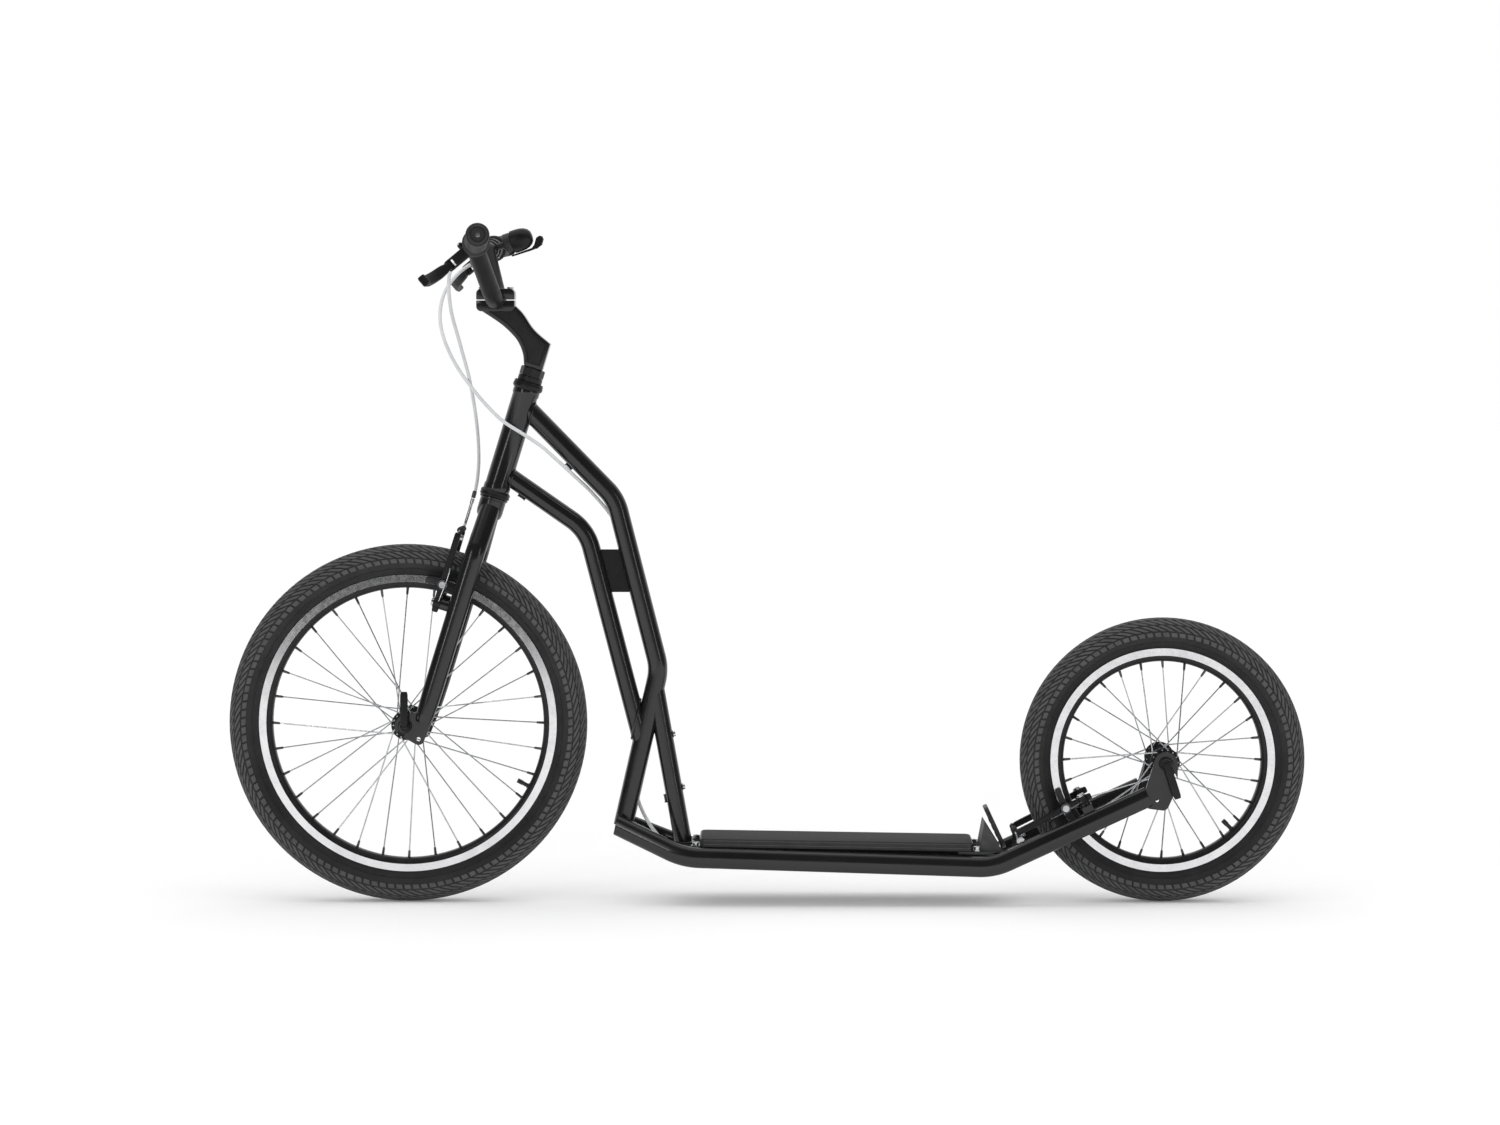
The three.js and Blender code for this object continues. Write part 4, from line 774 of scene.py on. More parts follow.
def spokes(name, place, rim_radius, hub_half, spoke_count, side):
    shape = Shape()
    for i in range(spoke_count // 2):
        rim_angle, hub_angle = spoke_angles(i, spoke_count, side)
        reach = flange_place(hub_half) + (SPOKE_SEAT_OUT if i % 2 else -SPOKE_SEAT_OUT)
        seat = spun(hub_angle) * (FLANGE_RADIUS - SPOKE_SEAT_INSET) + ACROSS * side * reach
        foot = spun(rim_angle) * (rim_radius - RIM_DEPTH) + ACROSS * side * SPOKE_FOOT_OUT
        shape.add(rod(seat, foot, SPOKE_RADIUS, segments=10), place)
        shape.add_rods(foot, (seat - foot).normalized(), SPOKE_RADIUS, NIPPLE_SHARES, place, 1, 12)
    node = f"{name}_spokes_{'left' if side < 0 else 'right'}"
    shape.dress(node, name + "_wheel", [SPOKE_STEEL, DARK_STEEL], "bright_steel")


VALVE_RADIUS = mm(2.9)
VALVE_SHARES = [(-6.897, 3.103, 1)]
VALVE_COLLAR_SHARES = [(-0.345, 0.414, 1.586, 1.241)]
VALVE_CAP_SHARES = [(3.103, 3.483, 1.172), (3.448, 3.69, 1.034)]
VALVE_CAP_PITCH = mm(1.6)


def valve(name, place, rim_radius, degrees):
    """A valve stem with its ribbed cap, standing in from the rim's bed."""
    inward = -spun(math.radians(degrees))
    bed = -inward * (rim_radius - RIM_DEPTH)
    shape = Shape().add_rods(bed, inward, VALVE_RADIUS, VALVE_SHARES, place, 0, 20)
    shape.add_rods(bed, inward, VALVE_RADIUS, VALVE_COLLAR_SHARES, place)
    for k in range(5):
        foot = bed + inward * k * VALVE_CAP_PITCH
        shape.add_rods(foot, inward, VALVE_RADIUS, VALVE_CAP_SHARES, place, 0, 16)
    shape.build(name + "_valve", name + "_wheel", [PLASTIC], "tyre", replaces=[name + "_inner_tube"])


DROPOUT = mm(5)
SKEWER_RADIUS = mm(2.5)
CAM_RADIUS = mm(9.9)
HOUSING_LENGTH = mm(13)
HOUSING_SHARES = [(0.005, 0), (0.97, 0), (1, 0.077), (1, 0.308), (0.808, 0.385), (0.768, 0.846), (0.667, 1),
                  (0.005, 1)]
LOCKNUT_RADIUS = mm(8.6)
LOCKNUT_SHARES = [(0.581, -1), (1, -1), (1, -0.033), (0.581, -0.033)]
NUT_LENGTH = mm(12)
NUT_SHARES = [(0.303, 0), (0.949, 0), (1, 0.083), (1, 0.583), (0.869, 0.75), (0.747, 0.975), (0.303, 0.975)]
NUT_KNURLS = 20
KNURL_SHARES = ((0.919, 0.1, -0.071), (1.005, 0.567, 0.071))
LEVER_LENGTH = mm(50)
LEVER_BOW = mm(1.2)
LEVER_SHARES = [(0, 0.072, 0.044), (0.1, 0.096, 0.048), (0.25, 0.104, 0.046), (0.5, 0.106, 0.04),
                (0.75, 0.108, 0.036), (0.92, 0.104, 0.032), (1, 0.084, 0.022)]
LEVER_PIN_SHARES = [(-0.106, 0.106, 0.049)]


def skewer(name, place, hub_half, body):
    """The quick-release skewer with its cam housing on the left, and its nut on the right."""
    face = hub_half + CLEARANCE + DROPOUT + CLEARANCE
    shape = Shape()
    left, right = -ACROSS * (face + HOUSING_LENGTH), ACROSS * (face + NUT_LENGTH)
    shape.add(rod(left, right, SKEWER_RADIUS, segments=16), place, 1)
    shape.add(turned(scaled(HOUSING_SHARES, CAM_RADIUS, -HOUSING_LENGTH, (0, -face)), 40), place)
    for side in (-1, 1):
        locknut = scaled(LOCKNUT_SHARES, LOCKNUT_RADIUS, HUB_CONE_LENGTH, (0, hub_half))
        shape.add(turned(other_side(locknut, side), 6), place, 1)
    shape.dress(name + "_skewer", body, [ALLOY, STEEL], "bright_steel", mm(0.4))
    nut = Shape().add(turned(scaled(NUT_SHARES, CAM_RADIUS, NUT_LENGTH, (0, face)), 40), place)
    ridge = block(*[Vector((x * CAM_RADIUS, face + y * NUT_LENGTH, z * CAM_RADIUS))
                    for x, y, z in KNURL_SHARES])
    for k in range(NUT_KNURLS):
        nut.add(ridge, place @ Matrix.Rotation(math.tau * k / NUT_KNURLS, 4, "Y"))
    nut.dress(name + "_skewer_nut", body, [ALLOY], "black_alloy")


def skewer_lever(name, place, hub_half, degrees):
    """The quick-release lever, turned round its pin beside the cam housing."""
    hinge = hub_half + 3 * CLEARANCE + DROPOUT + HOUSING_LENGTH + SKEWER_RADIUS
    aim = place @ Matrix.Rotation(math.radians(degrees), 4, "Y") @ Matrix.Translation(ACROSS * -hinge)
    lever = Shape().add(lofted([
        rounded_box_ring(Vector((0, share**2 * LEVER_BOW, share * LEVER_LENGTH)), FORWARD, ACROSS,
                         wide * LEVER_LENGTH, deep * LEVER_LENGTH)
        for share, wide, deep in LEVER_SHARES
    ]), aim)
    lever.add_rods(Vector(), FORWARD, LEVER_LENGTH, LEVER_PIN_SHARES, aim)
    lever.dress(name + "_skewer_lever", name + "_skewer_lever", [ALLOY], "black_alloy")


def wheel(name, axle, tyre_radius, hub_half, spoke_count, valve_degrees):
    rim_radius = tyre_radius - TYRE_HEIGHT
    place = Matrix.Translation(axle)
    tyre(name, place, rim_radius)
    rim(name, axle, place, rim_radius)
    hub(name, place, hub_half, spoke_count)
    valve(name, place, rim_radius, valve_degrees)
    for side in (-1, 1):
        spokes(name, place, rim_radius, hub_half, spoke_count, side)


# The frame

MAIN_RADIUS = mm(14)
LOWER_RADIUS = mm(13)
STRUT_RADIUS = mm(12.7)
TUBE_BEND = mm(70)
TUBE_SEGMENTS = 40
LEG_FOOT = Vector((FRONT_AXLE.x + FRONT_TYRE_RADIUS + mm(50.5), 0, mm(107)))
MAIN_HEAD_SHARE = 0.86
LOWER_HEAD_SHARE = 0.19
MAIN_SHARES = [(0.944, 0.025), (1.286, 0.53), (1, 1)]
LOWER_SHARES = [(0.714, 0.118), (1.151, 0.749)]
GUSSET_SHARES = [(0.78, 0.175), (0.89, 0.302), (1.16, 0.302), (1.02, 0.175)]
STRUT_TOP_SHARE = (1.254, 0.582)
STRUT_SETBACK = mm(22)
STRUT_FOOT = Vector((DECK_FRONT_X - STRUT_SETBACK, 0, mm(71)))
STRUT_WELD = mm(2)
LOWER_WELD_SETBACK = mm(34)
WELD_SINK = mm(1.2)
GUSSET_HALF = mm(2.5)
DECK_SLOPE = math.atan2(DECK_DROP, DECK_LENGTH)


def from_head(x_share, z_share):
    """A place between the head tube's foot and the foot of the main tube's leg."""
    run = LEG_FOOT - HEAD_BOTTOM
    return HEAD_BOTTOM + Vector((x_share * run.x, 0, z_share * run.z))


def on_head(share):
    return HEAD_BOTTOM + share * HEAD_TUBE_LENGTH * STEER_UP


MAIN_CORNERS = [on_head(MAIN_HEAD_SHARE), *[from_head(*share) for share in MAIN_SHARES]]
LOWER_CORNERS = [on_head(LOWER_HEAD_SHARE), *[from_head(*share) for share in LOWER_SHARES]]
STRUT_CORNERS = [from_head(*STRUT_TOP_SHARE), STRUT_FOOT]
LEG_NORMAL = (MAIN_CORNERS[3] - MAIN_CORNERS[2]).normalized().cross(ACROSS)


def heading_of(corners, first):
    return (corners[first + 1] - corners[first]).normalized()


def deck_top(x):
    return DECK_HEIGHT - (x - DECK_FRONT_X) * math.tan(DECK_SLOPE)


HEAD_COLLAR = mm(9)
HEAD_COLLAR_SHARES = [(0.85, 0), (1.039, 0), (1.056, 0.111), (1.056, 0.778), (1, 1)]


def head_tube():
    foot = scaled(HEAD_COLLAR_SHARES, HEAD_TUBE_RADIUS, HEAD_COLLAR, (0, FORK_LENGTH))
    top = scaled(HEAD_COLLAR_SHARES, HEAD_TUBE_RADIUS, -HEAD_COLLAR, (0, FORK_LENGTH + HEAD_TUBE_LENGTH))
    shape = Shape().add(turned(foot + top[::-1], 64), COLUMN)
    for corners, radius in ((MAIN_CORNERS, MAIN_RADIUS), (LOWER_CORNERS, LOWER_RADIUS)):
        heading = heading_of(corners, 0)
        centre = corners[0] + heading * (HEAD_TUBE_RADIUS / heading.dot(STEER_BACK) - WELD_SINK)
        shape.add(weld_bead(centre, heading, STEER_BACK, radius + WELD_LIFT))
    shape.dress("head_tube", "frame", [PAINT], "gloss_frame")


def frame_tube(corners, radius):
    return Shape().add(swept(rounded_path(corners, TUBE_BEND), radius, segments=TUBE_SEGMENTS))


def main_tubes():
    upper = frame_tube(MAIN_CORNERS, MAIN_RADIUS)
    upper.dress("upper_main_tube", "frame", [PAINT], "gloss_frame", mm(0.6))
    lower = frame_tube(LOWER_CORNERS, LOWER_RADIUS)
    heading = heading_of(LOWER_CORNERS, 1)
    centre = LOWER_CORNERS[2] - heading * LOWER_WELD_SETBACK
    lower.add(weld_bead(centre, heading, LEG_NORMAL, LOWER_RADIUS + CLEARANCE))
    lower.dress("lower_main_tube", "frame", [PAINT], "gloss_frame")


def gusset():
    outline = [(place.x, place.z) for place in (from_head(*share) for share in GUSSET_SHARES)]
    shape = Shape().add(plate(outline, -GUSSET_HALF, GUSSET_HALF))
    shape.dress("gusset_plate", "frame", [BAR_BLACK], "gloss_frame", mm(0.8))


BOSS_SHARES = [(0, 0.269, 1, 0.885)]
BOSS_RADIUS = mm(5.2)
BOSS_PLACE_SHARES = (0.3, 0.62)
BOSS_SINK = mm(0.4)
CAGE_SCREW_LIFT = mm(1.2)
CAGE_SCREW = mm(3.9)
CAGE_SCREW_LENGTH = mm(3)


def strut():
    shape = frame_tube(STRUT_CORNERS, STRUT_RADIUS)
    heading = heading_of(STRUT_CORNERS, 0)
    foot_height = deck_top(STRUT_FOOT.x) - DECK_THICKNESS
    foot = STRUT_FOOT + heading * (foot_height - STRUT_FOOT.z) / heading.z
    shape.add(weld_bead(foot, heading, UP, STRUT_RADIUS + WELD_LIFT, STRUT_WELD))
    shape.dress("strut_tube", "frame", [PAINT], "gloss_frame")
    screws = Shape()
    back = heading.cross(ACROSS)
    for share in BOSS_PLACE_SHARES:
        seat = STRUT_CORNERS[0].lerp(STRUT_FOOT, share) + back * (STRUT_RADIUS - BOSS_SINK)
        screws.add_rods(seat, back, BOSS_RADIUS, BOSS_SHARES, slot=1, segments=28)
        screws.add(socket_screw(seat + back * CAGE_SCREW_LIFT, back, CAGE_SCREW, CAGE_SCREW_LENGTH))
    screws.build("bottle_cage_screws", "frame", [STEEL, PAINT], "bright_steel")


RAIL_BEND = mm(90)
RAIL_FOOT_SETBACK = mm(10)
RAIL_FOOT_LIFT = mm(5)
RAIL_FRONT_HEIGHT = mm(69.5)
RAIL_REAR_HEIGHT = mm(55.6)
RAIL_REAR_SETBACK = mm(241.5)
RAIL_END_SETBACK = mm(24.5)
RAIL_END_DROP = mm(46)


def rail_corners(side):
    half = side * RAIL_SPACING / 2
    foot_half = side * (MAIN_RADIUS + CLEARANCE + RAIL_WIDTH / 2)
    return [
        Vector((LEG_FOOT.x - RAIL_FOOT_SETBACK, foot_half, LEG_FOOT.z + RAIL_FOOT_LIFT)),
        Vector((STRUT_FOOT.x, half, RAIL_FRONT_HEIGHT)),
        Vector((REAR_AXLE.x - RAIL_REAR_SETBACK, half, RAIL_REAR_HEIGHT)),
        Vector((REAR_AXLE.x - RAIL_END_SETBACK, half, REAR_TYRE_RADIUS - RAIL_END_DROP)),
    ]


def dropout(centre, size, disc_shares, slot_shares, eye_share, side, hub_half):
    """A dropout plate beside a hub, with its axle slot and a small eye cut through."""
    face = hub_half + CLEARANCE
    low, high = sorted((side * face, side * (face + DROPOUT)))
    whole, slot, eye = [
        round_hull(sized_discs(shares, size, (centre.x, centre.z)), segments)
        for shares, segments in ((disc_shares, 40), (slot_shares, 32), ([eye_share], 24))
    ]
    cuts = [plate(cut, low - OVERRUN, high + OVERRUN) for cut in (slot, eye)]
    return carved(plate(whole, low, high), *cuts)


REAR_DROPOUT = mm(66)
REAR_DROPOUT_SHARES = [(0, 0, 0.25), (-0.3, -0.78, 0.19), (-0.06, -0.87, 0.13), (0.03, -0.45, 0.22)]
REAR_SLOT_SHARES = [(0, 0, 0.079), (0.379, -0.758, 0.079)]
REAR_EYE_SHARE = (-0.182, -0.788, 0.038)


def mitred(ring, tip, heading, normal):
    """A ring slid along its heading on to a plane through the tip."""
    return [place + heading * (tip - place).dot(normal) / heading.dot(normal) for place in ring]


EYELET_SETBACK = mm(203)
EYELET_RADIUS = mm(6)
EYELET_LIFT = mm(18)
EYELET_SINK = mm(3)
EYELET_FACE = mm(1)
EYELET_WASHER = mm(5.6)
EYELET_BOLT_SHARES = (0.179, 0.75, 0.357)


def eyelet_place(side):
    """The middle of the small tab that stands on the inner side of each rail, in front of the rear wheel."""
    low, high = rail_corners(side)[2:]
    x = REAR_AXLE.x - EYELET_SETBACK
    share = (x - low.x) / (high.x - low.x)
    return Vector((x, side * (RAIL_SPACING - RAIL_WIDTH) / 2, low.z + share * (high.z - low.z) + EYELET_LIFT))


def eyelet_tab(side):
    spot = eyelet_place(side)
    outline = round_hull([(spot.x, spot.z, EYELET_RADIUS), (spot.x, spot.z - EYELET_LIFT, EYELET_RADIUS)])
    return plate(outline, *sorted((spot.y - side * EYELET_SINK, spot.y + side * EYELET_FACE)))


def eyelet_bolts():
    bolts = Shape()
    for side in (-1, 1):
        out = side * ACROSS
        bolts.add_bolt(eyelet_place(side) + out * EYELET_FACE, out, EYELET_WASHER, EYELET_BOLT_SHARES)
    bolts.build("eyelet_bolts", "frame", [STEEL], "bright_steel")


GUIDE_RADIUS = mm(1.8)
GUIDE_LIFT = mm(1)
GUIDE_SHARES = [(-2.5, 2.5, 1), (-3.333, -2.5, 1.333), (2.5, 3.333, 1.333)]
GUIDE_PLACE_SHARES = (0.58, 0.3, 0.67)


def cable_guides():
    """Small open guides under the two main tubes and on the front of the strut, in the frame's paint."""
    runs = ((MAIN_CORNERS, MAIN_RADIUS, -FORWARD - UP), (LOWER_CORNERS, LOWER_RADIUS, -FORWARD - UP),
            (STRUT_CORNERS, STRUT_RADIUS, -FORWARD))
    guides = Shape()
    for (corners, radius, side), share in zip(runs, GUIDE_PLACE_SHARES):
        heading = heading_of(corners, 0)
        out = (side - side.dot(heading) * heading).normalized()
        middle = corners[0].lerp(corners[1], share) + out * (radius + GUIDE_LIFT)
        guides.add_rods(middle, heading, GUIDE_RADIUS, GUIDE_SHARES)
    guides.build("cable_guides", "frame", [PAINT], "gloss_frame")


# The brakes' own frames: arms along +Z from their pivots, studs along +X

BAND_DEPTH = mm(11)
PIVOT_DROP = mm(27)
PIVOT_HALF = mm(40)
STUD_RADIUS = mm(8)
STUD_FACE = mm(5.3)
FRONT_BAND = FRONT_RIM_RADIUS - BAND_DEPTH / 2
REAR_BAND = REAR_RIM_RADIUS - BAND_DEPTH / 2
FRONT_BRAKE_FORWARD = mm(31)
FRONT_PIVOT_HEIGHT = math.sqrt(FRONT_BAND**2 - (FRONT_BRAKE_FORWARD - FORK_RAKE) ** 2) - PIVOT_DROP
FRONT_PIVOTS = Matrix.Translation((-FRONT_BRAKE_FORWARD, 0, FRONT_PIVOT_HEIGHT))
FRONT_BRAKE = STEERING @ FRONT_PIVOTS @ Matrix.Rotation(math.pi, 4, "Z")
REAR_ARM_ANGLE = math.radians(27)
REAR_PAD_ANGLE = math.radians(25)
REAR_ARM_RUN = -spun(REAR_ARM_ANGLE)
REAR_BRAKE = basis(spun(REAR_ARM_ANGLE + math.pi / 2), ACROSS, REAR_ARM_RUN,
                   REAR_AXLE - REAR_BAND * spun(REAR_PAD_ANGLE) - PIVOT_DROP * REAR_ARM_RUN)
STUD_BLOCK_SHARES = (-3.1, -1.0375)
STUD_SHARES = [(-1.9125, -0.6625, 1)]


def rail(side, name):
    path = rounded_path(rail_corners(side), RAIL_BEND, 18)
    rings = [circle_ring(place, *frame_round(heading), RAIL_WIDTH / 2, RAIL_HEIGHT / 2, 44)
             for place, heading in path]
    rings[0] = mitred(rings[0], *path[0], LEG_NORMAL)
    shape = Shape().add(lofted(rings)).add(eyelet_tab(side))
    shape.add(dropout(REAR_AXLE, REAR_DROPOUT, REAR_DROPOUT_SHARES, REAR_SLOT_SHARES, REAR_EYE_SHARE,
                      side, REAR_HUB_HALF))
    low, high = sorted((side * (PIVOT_HALF - STUD_RADIUS / 2), side * RAIL_SPACING / 2))
    back, front = [share * STUD_RADIUS for share in STUD_BLOCK_SHARES]
    shape.add(block(Vector((back, low, -STUD_RADIUS)), Vector((front, high, STUD_RADIUS))), REAR_BRAKE)
    shape.add_rods(ACROSS * side * PIVOT_HALF, FORWARD, STUD_RADIUS, STUD_SHARES, REAR_BRAKE)
    shape.dress(name, "frame", [PAINT], "gloss_frame", mm(0.5))


STUD_WASHER = mm(6.4)
STUD_BOLT_SHARES = (0.141, 0.781, 0.344)


def stud_bolts(name, place, body):
    """The silver bolts that hold a brake's arms on their studs."""
    shape = Shape()
    for side in (-1, 1):
        start = Vector((STUD_FACE, side * PIVOT_HALF, 0))
        shape.add_bolt(start, FORWARD, STUD_WASHER, STUD_BOLT_SHARES, place)
    shape.build(name, body, [STEEL], "bright_steel")


ARM_LENGTH = mm(100)
# Each section: its height, its place beyond the pivot, and its half depth and half width
ARM_SHARES = [
    (-0.13, 0.005, 0.034, 0.026), (-0.11, 0.005, 0.044, 0.034), (0, 0, 0.049, 0.04), (0.14, 0, 0.049, 0.042),
    (0.27, 0.002, 0.049, 0.042), (0.45, 0.006, 0.048, 0.038), (0.7, 0.008, 0.045, 0.034),
    (0.92, 0.004, 0.044, 0.034), (1.01, 0, 0.043, 0.033), (1.03, 0, 0.034, 0.024),
]
ARM_SLOT_SHARES = [(0, 0.22, 0.026), (0, 0.33, 0.026)]
ARM_CUT_SHARE = 0.1
ARM_PIVOT_SHARES = [(-0.05, 0.05, 0.078)]
SPRING_SHARES = [(0, 0.052, -0.04), (-0.02, 0.066, 0.06), (-0.035, 0.056, 0.26), (-0.044, 0.049, 0.44),
                 (-0.036, 0.046, 0.52)]
SPRING_RADIUS = mm(0.75)
LINK_ROLLER_SHARES = [(-0.044, 0.044, 0.044)]
LINK_ROLLER_SHARE = 1.054
CABLE_CLAMP_SHARE = 0.98
CABLE_CLAMP_SHARES = [(0.046, 0.084, 0.04)]
CABLE_WASHER_SHARES = [(0.043, 0.052, 0.05)]


def brake_arm(name, side_name, place, side, linked):
    def on_arm(x, y, z):
        return Vector((x * ARM_LENGTH, PIVOT_HALF + y * ARM_LENGTH, z * ARM_LENGTH))

    local = place @ Matrix.Diagonal((1, side, 1, 1))
    bar = lofted([
        rounded_box_ring(on_arm(0, y, z), FORWARD, ACROSS, deep * ARM_LENGTH, wide * ARM_LENGTH)
        for z, y, deep, wide in ARM_SHARES
    ])
    reach = ARM_CUT_SHARE * ARM_LENGTH
    slot = plate(round_hull(sized_discs(ARM_SLOT_SHARES, ARM_LENGTH)), PIVOT_HALF - reach, PIVOT_HALF + reach)
    shape = Shape().add(carved(bar, slot), local)
    shape.add_rods(on_arm(0, 0, 0), FORWARD, ARM_LENGTH, ARM_PIVOT_SHARES, local, 0, 36)
    spring = smooth_line([on_arm(*share) for share in SPRING_SHARES], 6)
    shape.add(swept(with_headings(spring), SPRING_RADIUS, segments=10), local, 1)
    if linked:
        shape.add_rods(on_arm(0, 0, LINK_ROLLER_SHARE), ACROSS, ARM_LENGTH, LINK_ROLLER_SHARES, local, 2)
    else:
        clamp = on_arm(0, 0, CABLE_CLAMP_SHARE)
        shape.add_rods(clamp, -FORWARD, ARM_LENGTH, CABLE_CLAMP_SHARES, local, 1, 6)
        shape.add_rods(clamp, -FORWARD, ARM_LENGTH, CABLE_WASHER_SHARES, local, 1, 28)
    shape.dress(f"{name}_brake_{side_name}_arm", f"{name}_{side_name}_arm", [ALLOY, STEEL, DARK_STEEL],
                "black_alloy", mm(0.3))


PAD_HALF = mm(26)
PAD_STEPS = 26
PAD_NOTCHES = (7, 13, 19)
PAD_NOTCH = mm(1.6)
PAD_MIDDLE = mm(20)
PAD_HALF_DEPTH = mm(5)
PAD_HALF_HEIGHT = mm(4.5)
PAD_END_INSET = mm(1.2)
PAD_END_DEPTH_SHARE = 0.7
PAD_WASHER = mm(7)
PAD_WASHER_SHARES = [(3.5, 3.857, 0.8), (3.857, 4.2, 1), (4.2, 4.571, 0.857), (4.571, 5.086, 1),
                     (6.314, 6.571, 1)]
PAD_POST_SHARES = [(3.571, 6.429, 0.343)]
PAD_SCREW_FACE = mm(46)
PAD_SCREW_RADIUS = mm(4.6)
PAD_SCREW_LENGTH = mm(2.2)


def brake_pad(name, side_name, place, side, band_radius):
    """A notched pad that follows the rim's band, on its bolt with rings and washers."""
    local = place @ Matrix.Diagonal((1, side, 1, 1))
    rings = []
    for step in range(PAD_STEPS + 1):
        x = PAD_HALF * (2 * step / PAD_STEPS - 1)
        notch = PAD_NOTCH / 2 if step in PAD_NOTCHES else 0
        inset = PAD_END_INSET if step in (0, PAD_STEPS) else 0
        drop = band_radius - math.sqrt(band_radius**2 - x**2)
        half_deep = PAD_HALF_DEPTH - notch - inset * PAD_END_DEPTH_SHARE
        centre = Vector((x, PAD_MIDDLE + notch, PIVOT_DROP - drop))
        rings.append(rounded_box_ring(centre, ACROSS, UP, half_deep, PAD_HALF_HEIGHT - inset))
    middle = PIVOT_DROP * UP
    shape = Shape().add(lofted(rings), local)
    shape.add_rods(middle, ACROSS, PAD_WASHER, PAD_WASHER_SHARES, local, 1, 32)
    shape.add_rods(middle, ACROSS, PAD_WASHER, PAD_POST_SHARES, local, 2, 20)
    screw = socket_screw(middle + ACROSS * PAD_SCREW_FACE, ACROSS, PAD_SCREW_RADIUS, PAD_SCREW_LENGTH)
    shape.add(screw, local, 2)
    shape.dress(f"{name}_brake_{side_name}_pad", f"{name}_{side_name}_arm", [DARK_RUBBER, DARK_STEEL, STEEL],
                "black_plastic")


LINK_HEIGHT = mm(105.8)
NOODLE_RADIUS = mm(2.4)
NOODLE_BEND = mm(13.6)
NOODLE_END_SHARES = [(-2.917, -0.083, 1.292)]
FRONT_NOODLE_SHARES = [(0, 0.25, 0), (0, 1.35, 0), (0, 1.35, 1.1)]
REAR_NOODLE_SHARES = [(0, 0.25, 0), (0, 1.05, 0), (-0.6, 1.05, 0)]
BOOT_RADIUS = mm(4.7)
BOOT_PITCH = mm(3)
BOOT_FOLDS = 9
BOOT_SHARES = [(0.787, 3), (1, 2.667), (1, 2.4)]
BOOT_TOP_SHARE = 3.333
BOOT_END_SHARE = -6.333
WIRE_RADIUS = mm(0.9)
WIRE_SHARES = [(-20, -44.444, 1)]


def brake_link(name, body, place, side, corner_shares):
    """The noodle, its rubber boot and the bare wire between the arms' ends."""
    local = place @ Matrix.Diagonal((1, side, 1, 1)) @ Matrix.Translation((0, 0, LINK_HEIGHT))
    corners = [Vector(share) * PIVOT_HALF for share in corner_shares]
    path = rounded_path(corners, NOODLE_BEND)
    shape = Shape().add(swept(path, NOODLE_RADIUS, FORWARD + UP / 10, 24), local)
    shape.add_rods(*path[-1], NOODLE_RADIUS, NOODLE_END_SHARES, local)
    folds = [(HAIR, BOOT_TOP_SHARE * BOOT_PITCH)]
    for k in range(BOOT_FOLDS):
        folds += scaled(BOOT_SHARES, BOOT_RADIUS, BOOT_PITCH, (0, -k * BOOT_PITCH))
    folds.append((HAIR, BOOT_END_SHARE * BOOT_PITCH))
    shape.add(turned(folds, 28), local, 1)
    shape.add_rods(Vector(), ACROSS, WIRE_RADIUS, WIRE_SHARES, local, 0, 12)
    shape.dress(name + "_brake_noodle", body, [STEEL, DARK_RUBBER], "bright_steel")


def brake(name, body, place, band_radius, linked_side, noodle_shares):
    """One rim brake. The noodle hangs on the linked side, and the other arm clamps the wire."""
    left = 1 if name == "front" else -1
    for side_name, side in (("left", left), ("right", -left)):
        brake_arm(name, side_name, place, side, side == linked_side)
        brake_pad(name, side_name, place, side, band_radius)
    brake_link(name, body, place, linked_side, noodle_shares)
    stud_bolts(name + "_brake_stud_bolts", place, body)


# Footboard, bracket and heel guard

DECK_CORNER = mm(10)
BOARD_SHARES = [(-1, 0.1), (-0.9, 0), (-0.133, 0), (-0.058, 0.067), (-0.058, 0.25)]
GRIT_SHARES = [(-0.083, 0.183), (-0.008, 0.183), (0, 0.217)]
TRIM_HEIGHT_SHARES = (-0.183, -0.633)
TRIM_SHARES = [(-0.058, 0.042), (-0.025, -0.0125), (0.025, -0.0125), (0.058, 0.042)]


def footboard():
    outline = rounded_rectangle(DECK_LENGTH, DECK_WIDTH, DECK_CORNER)
    middle = (DECK_FRONT_X + DECK_REAR_X) / 2
    place = Matrix.Translation((middle, 0, deck_top(middle))) @ Matrix.Rotation(DECK_SLOPE, 4, "Y")
    shape = Shape().add(slab(outline, scaled(BOARD_SHARES, DECK_THICKNESS)), place)
    shape.add(slab(outline, scaled(GRIT_SHARES, DECK_THICKNESS)), place, 1)
    for height in TRIM_HEIGHT_SHARES:
        trim = scaled(TRIM_SHARES, DECK_THICKNESS, origin=(height * DECK_THICKNESS, 0))
        shape.add(slab(outline, trim), place, 2)
    shape.dress("footboard", "frame", [PLASTIC, GRIT, DARK_STEEL], "deck")


CROSS_THICKNESS = mm(4)
CROSS_LEAD = mm(34)
CROSS_REACH = mm(24)
CROSS_REAR_LEAD = mm(22)
BRACKET_LEAD = mm(8)
BRACKET_LENGTH = mm(34)
BRACKET_RISE = mm(30)
BRACKET_HALF = mm(35)
BRACKET_SINK = mm(2)
BRACKET_OPENING = mm(4.2)
SHEET = mm(3)
SCREW_FRONT_SETBACK = mm(6)
SCREW_REAR_REACH = mm(5)
SCREW_HALF = mm(42)
DECK_WASHER = mm(6.5)
DECK_SCREW_SHARES = (0.185, 0.708, 0.708)


def under_deck(x):
    return deck_top(x) - DECK_THICKNESS


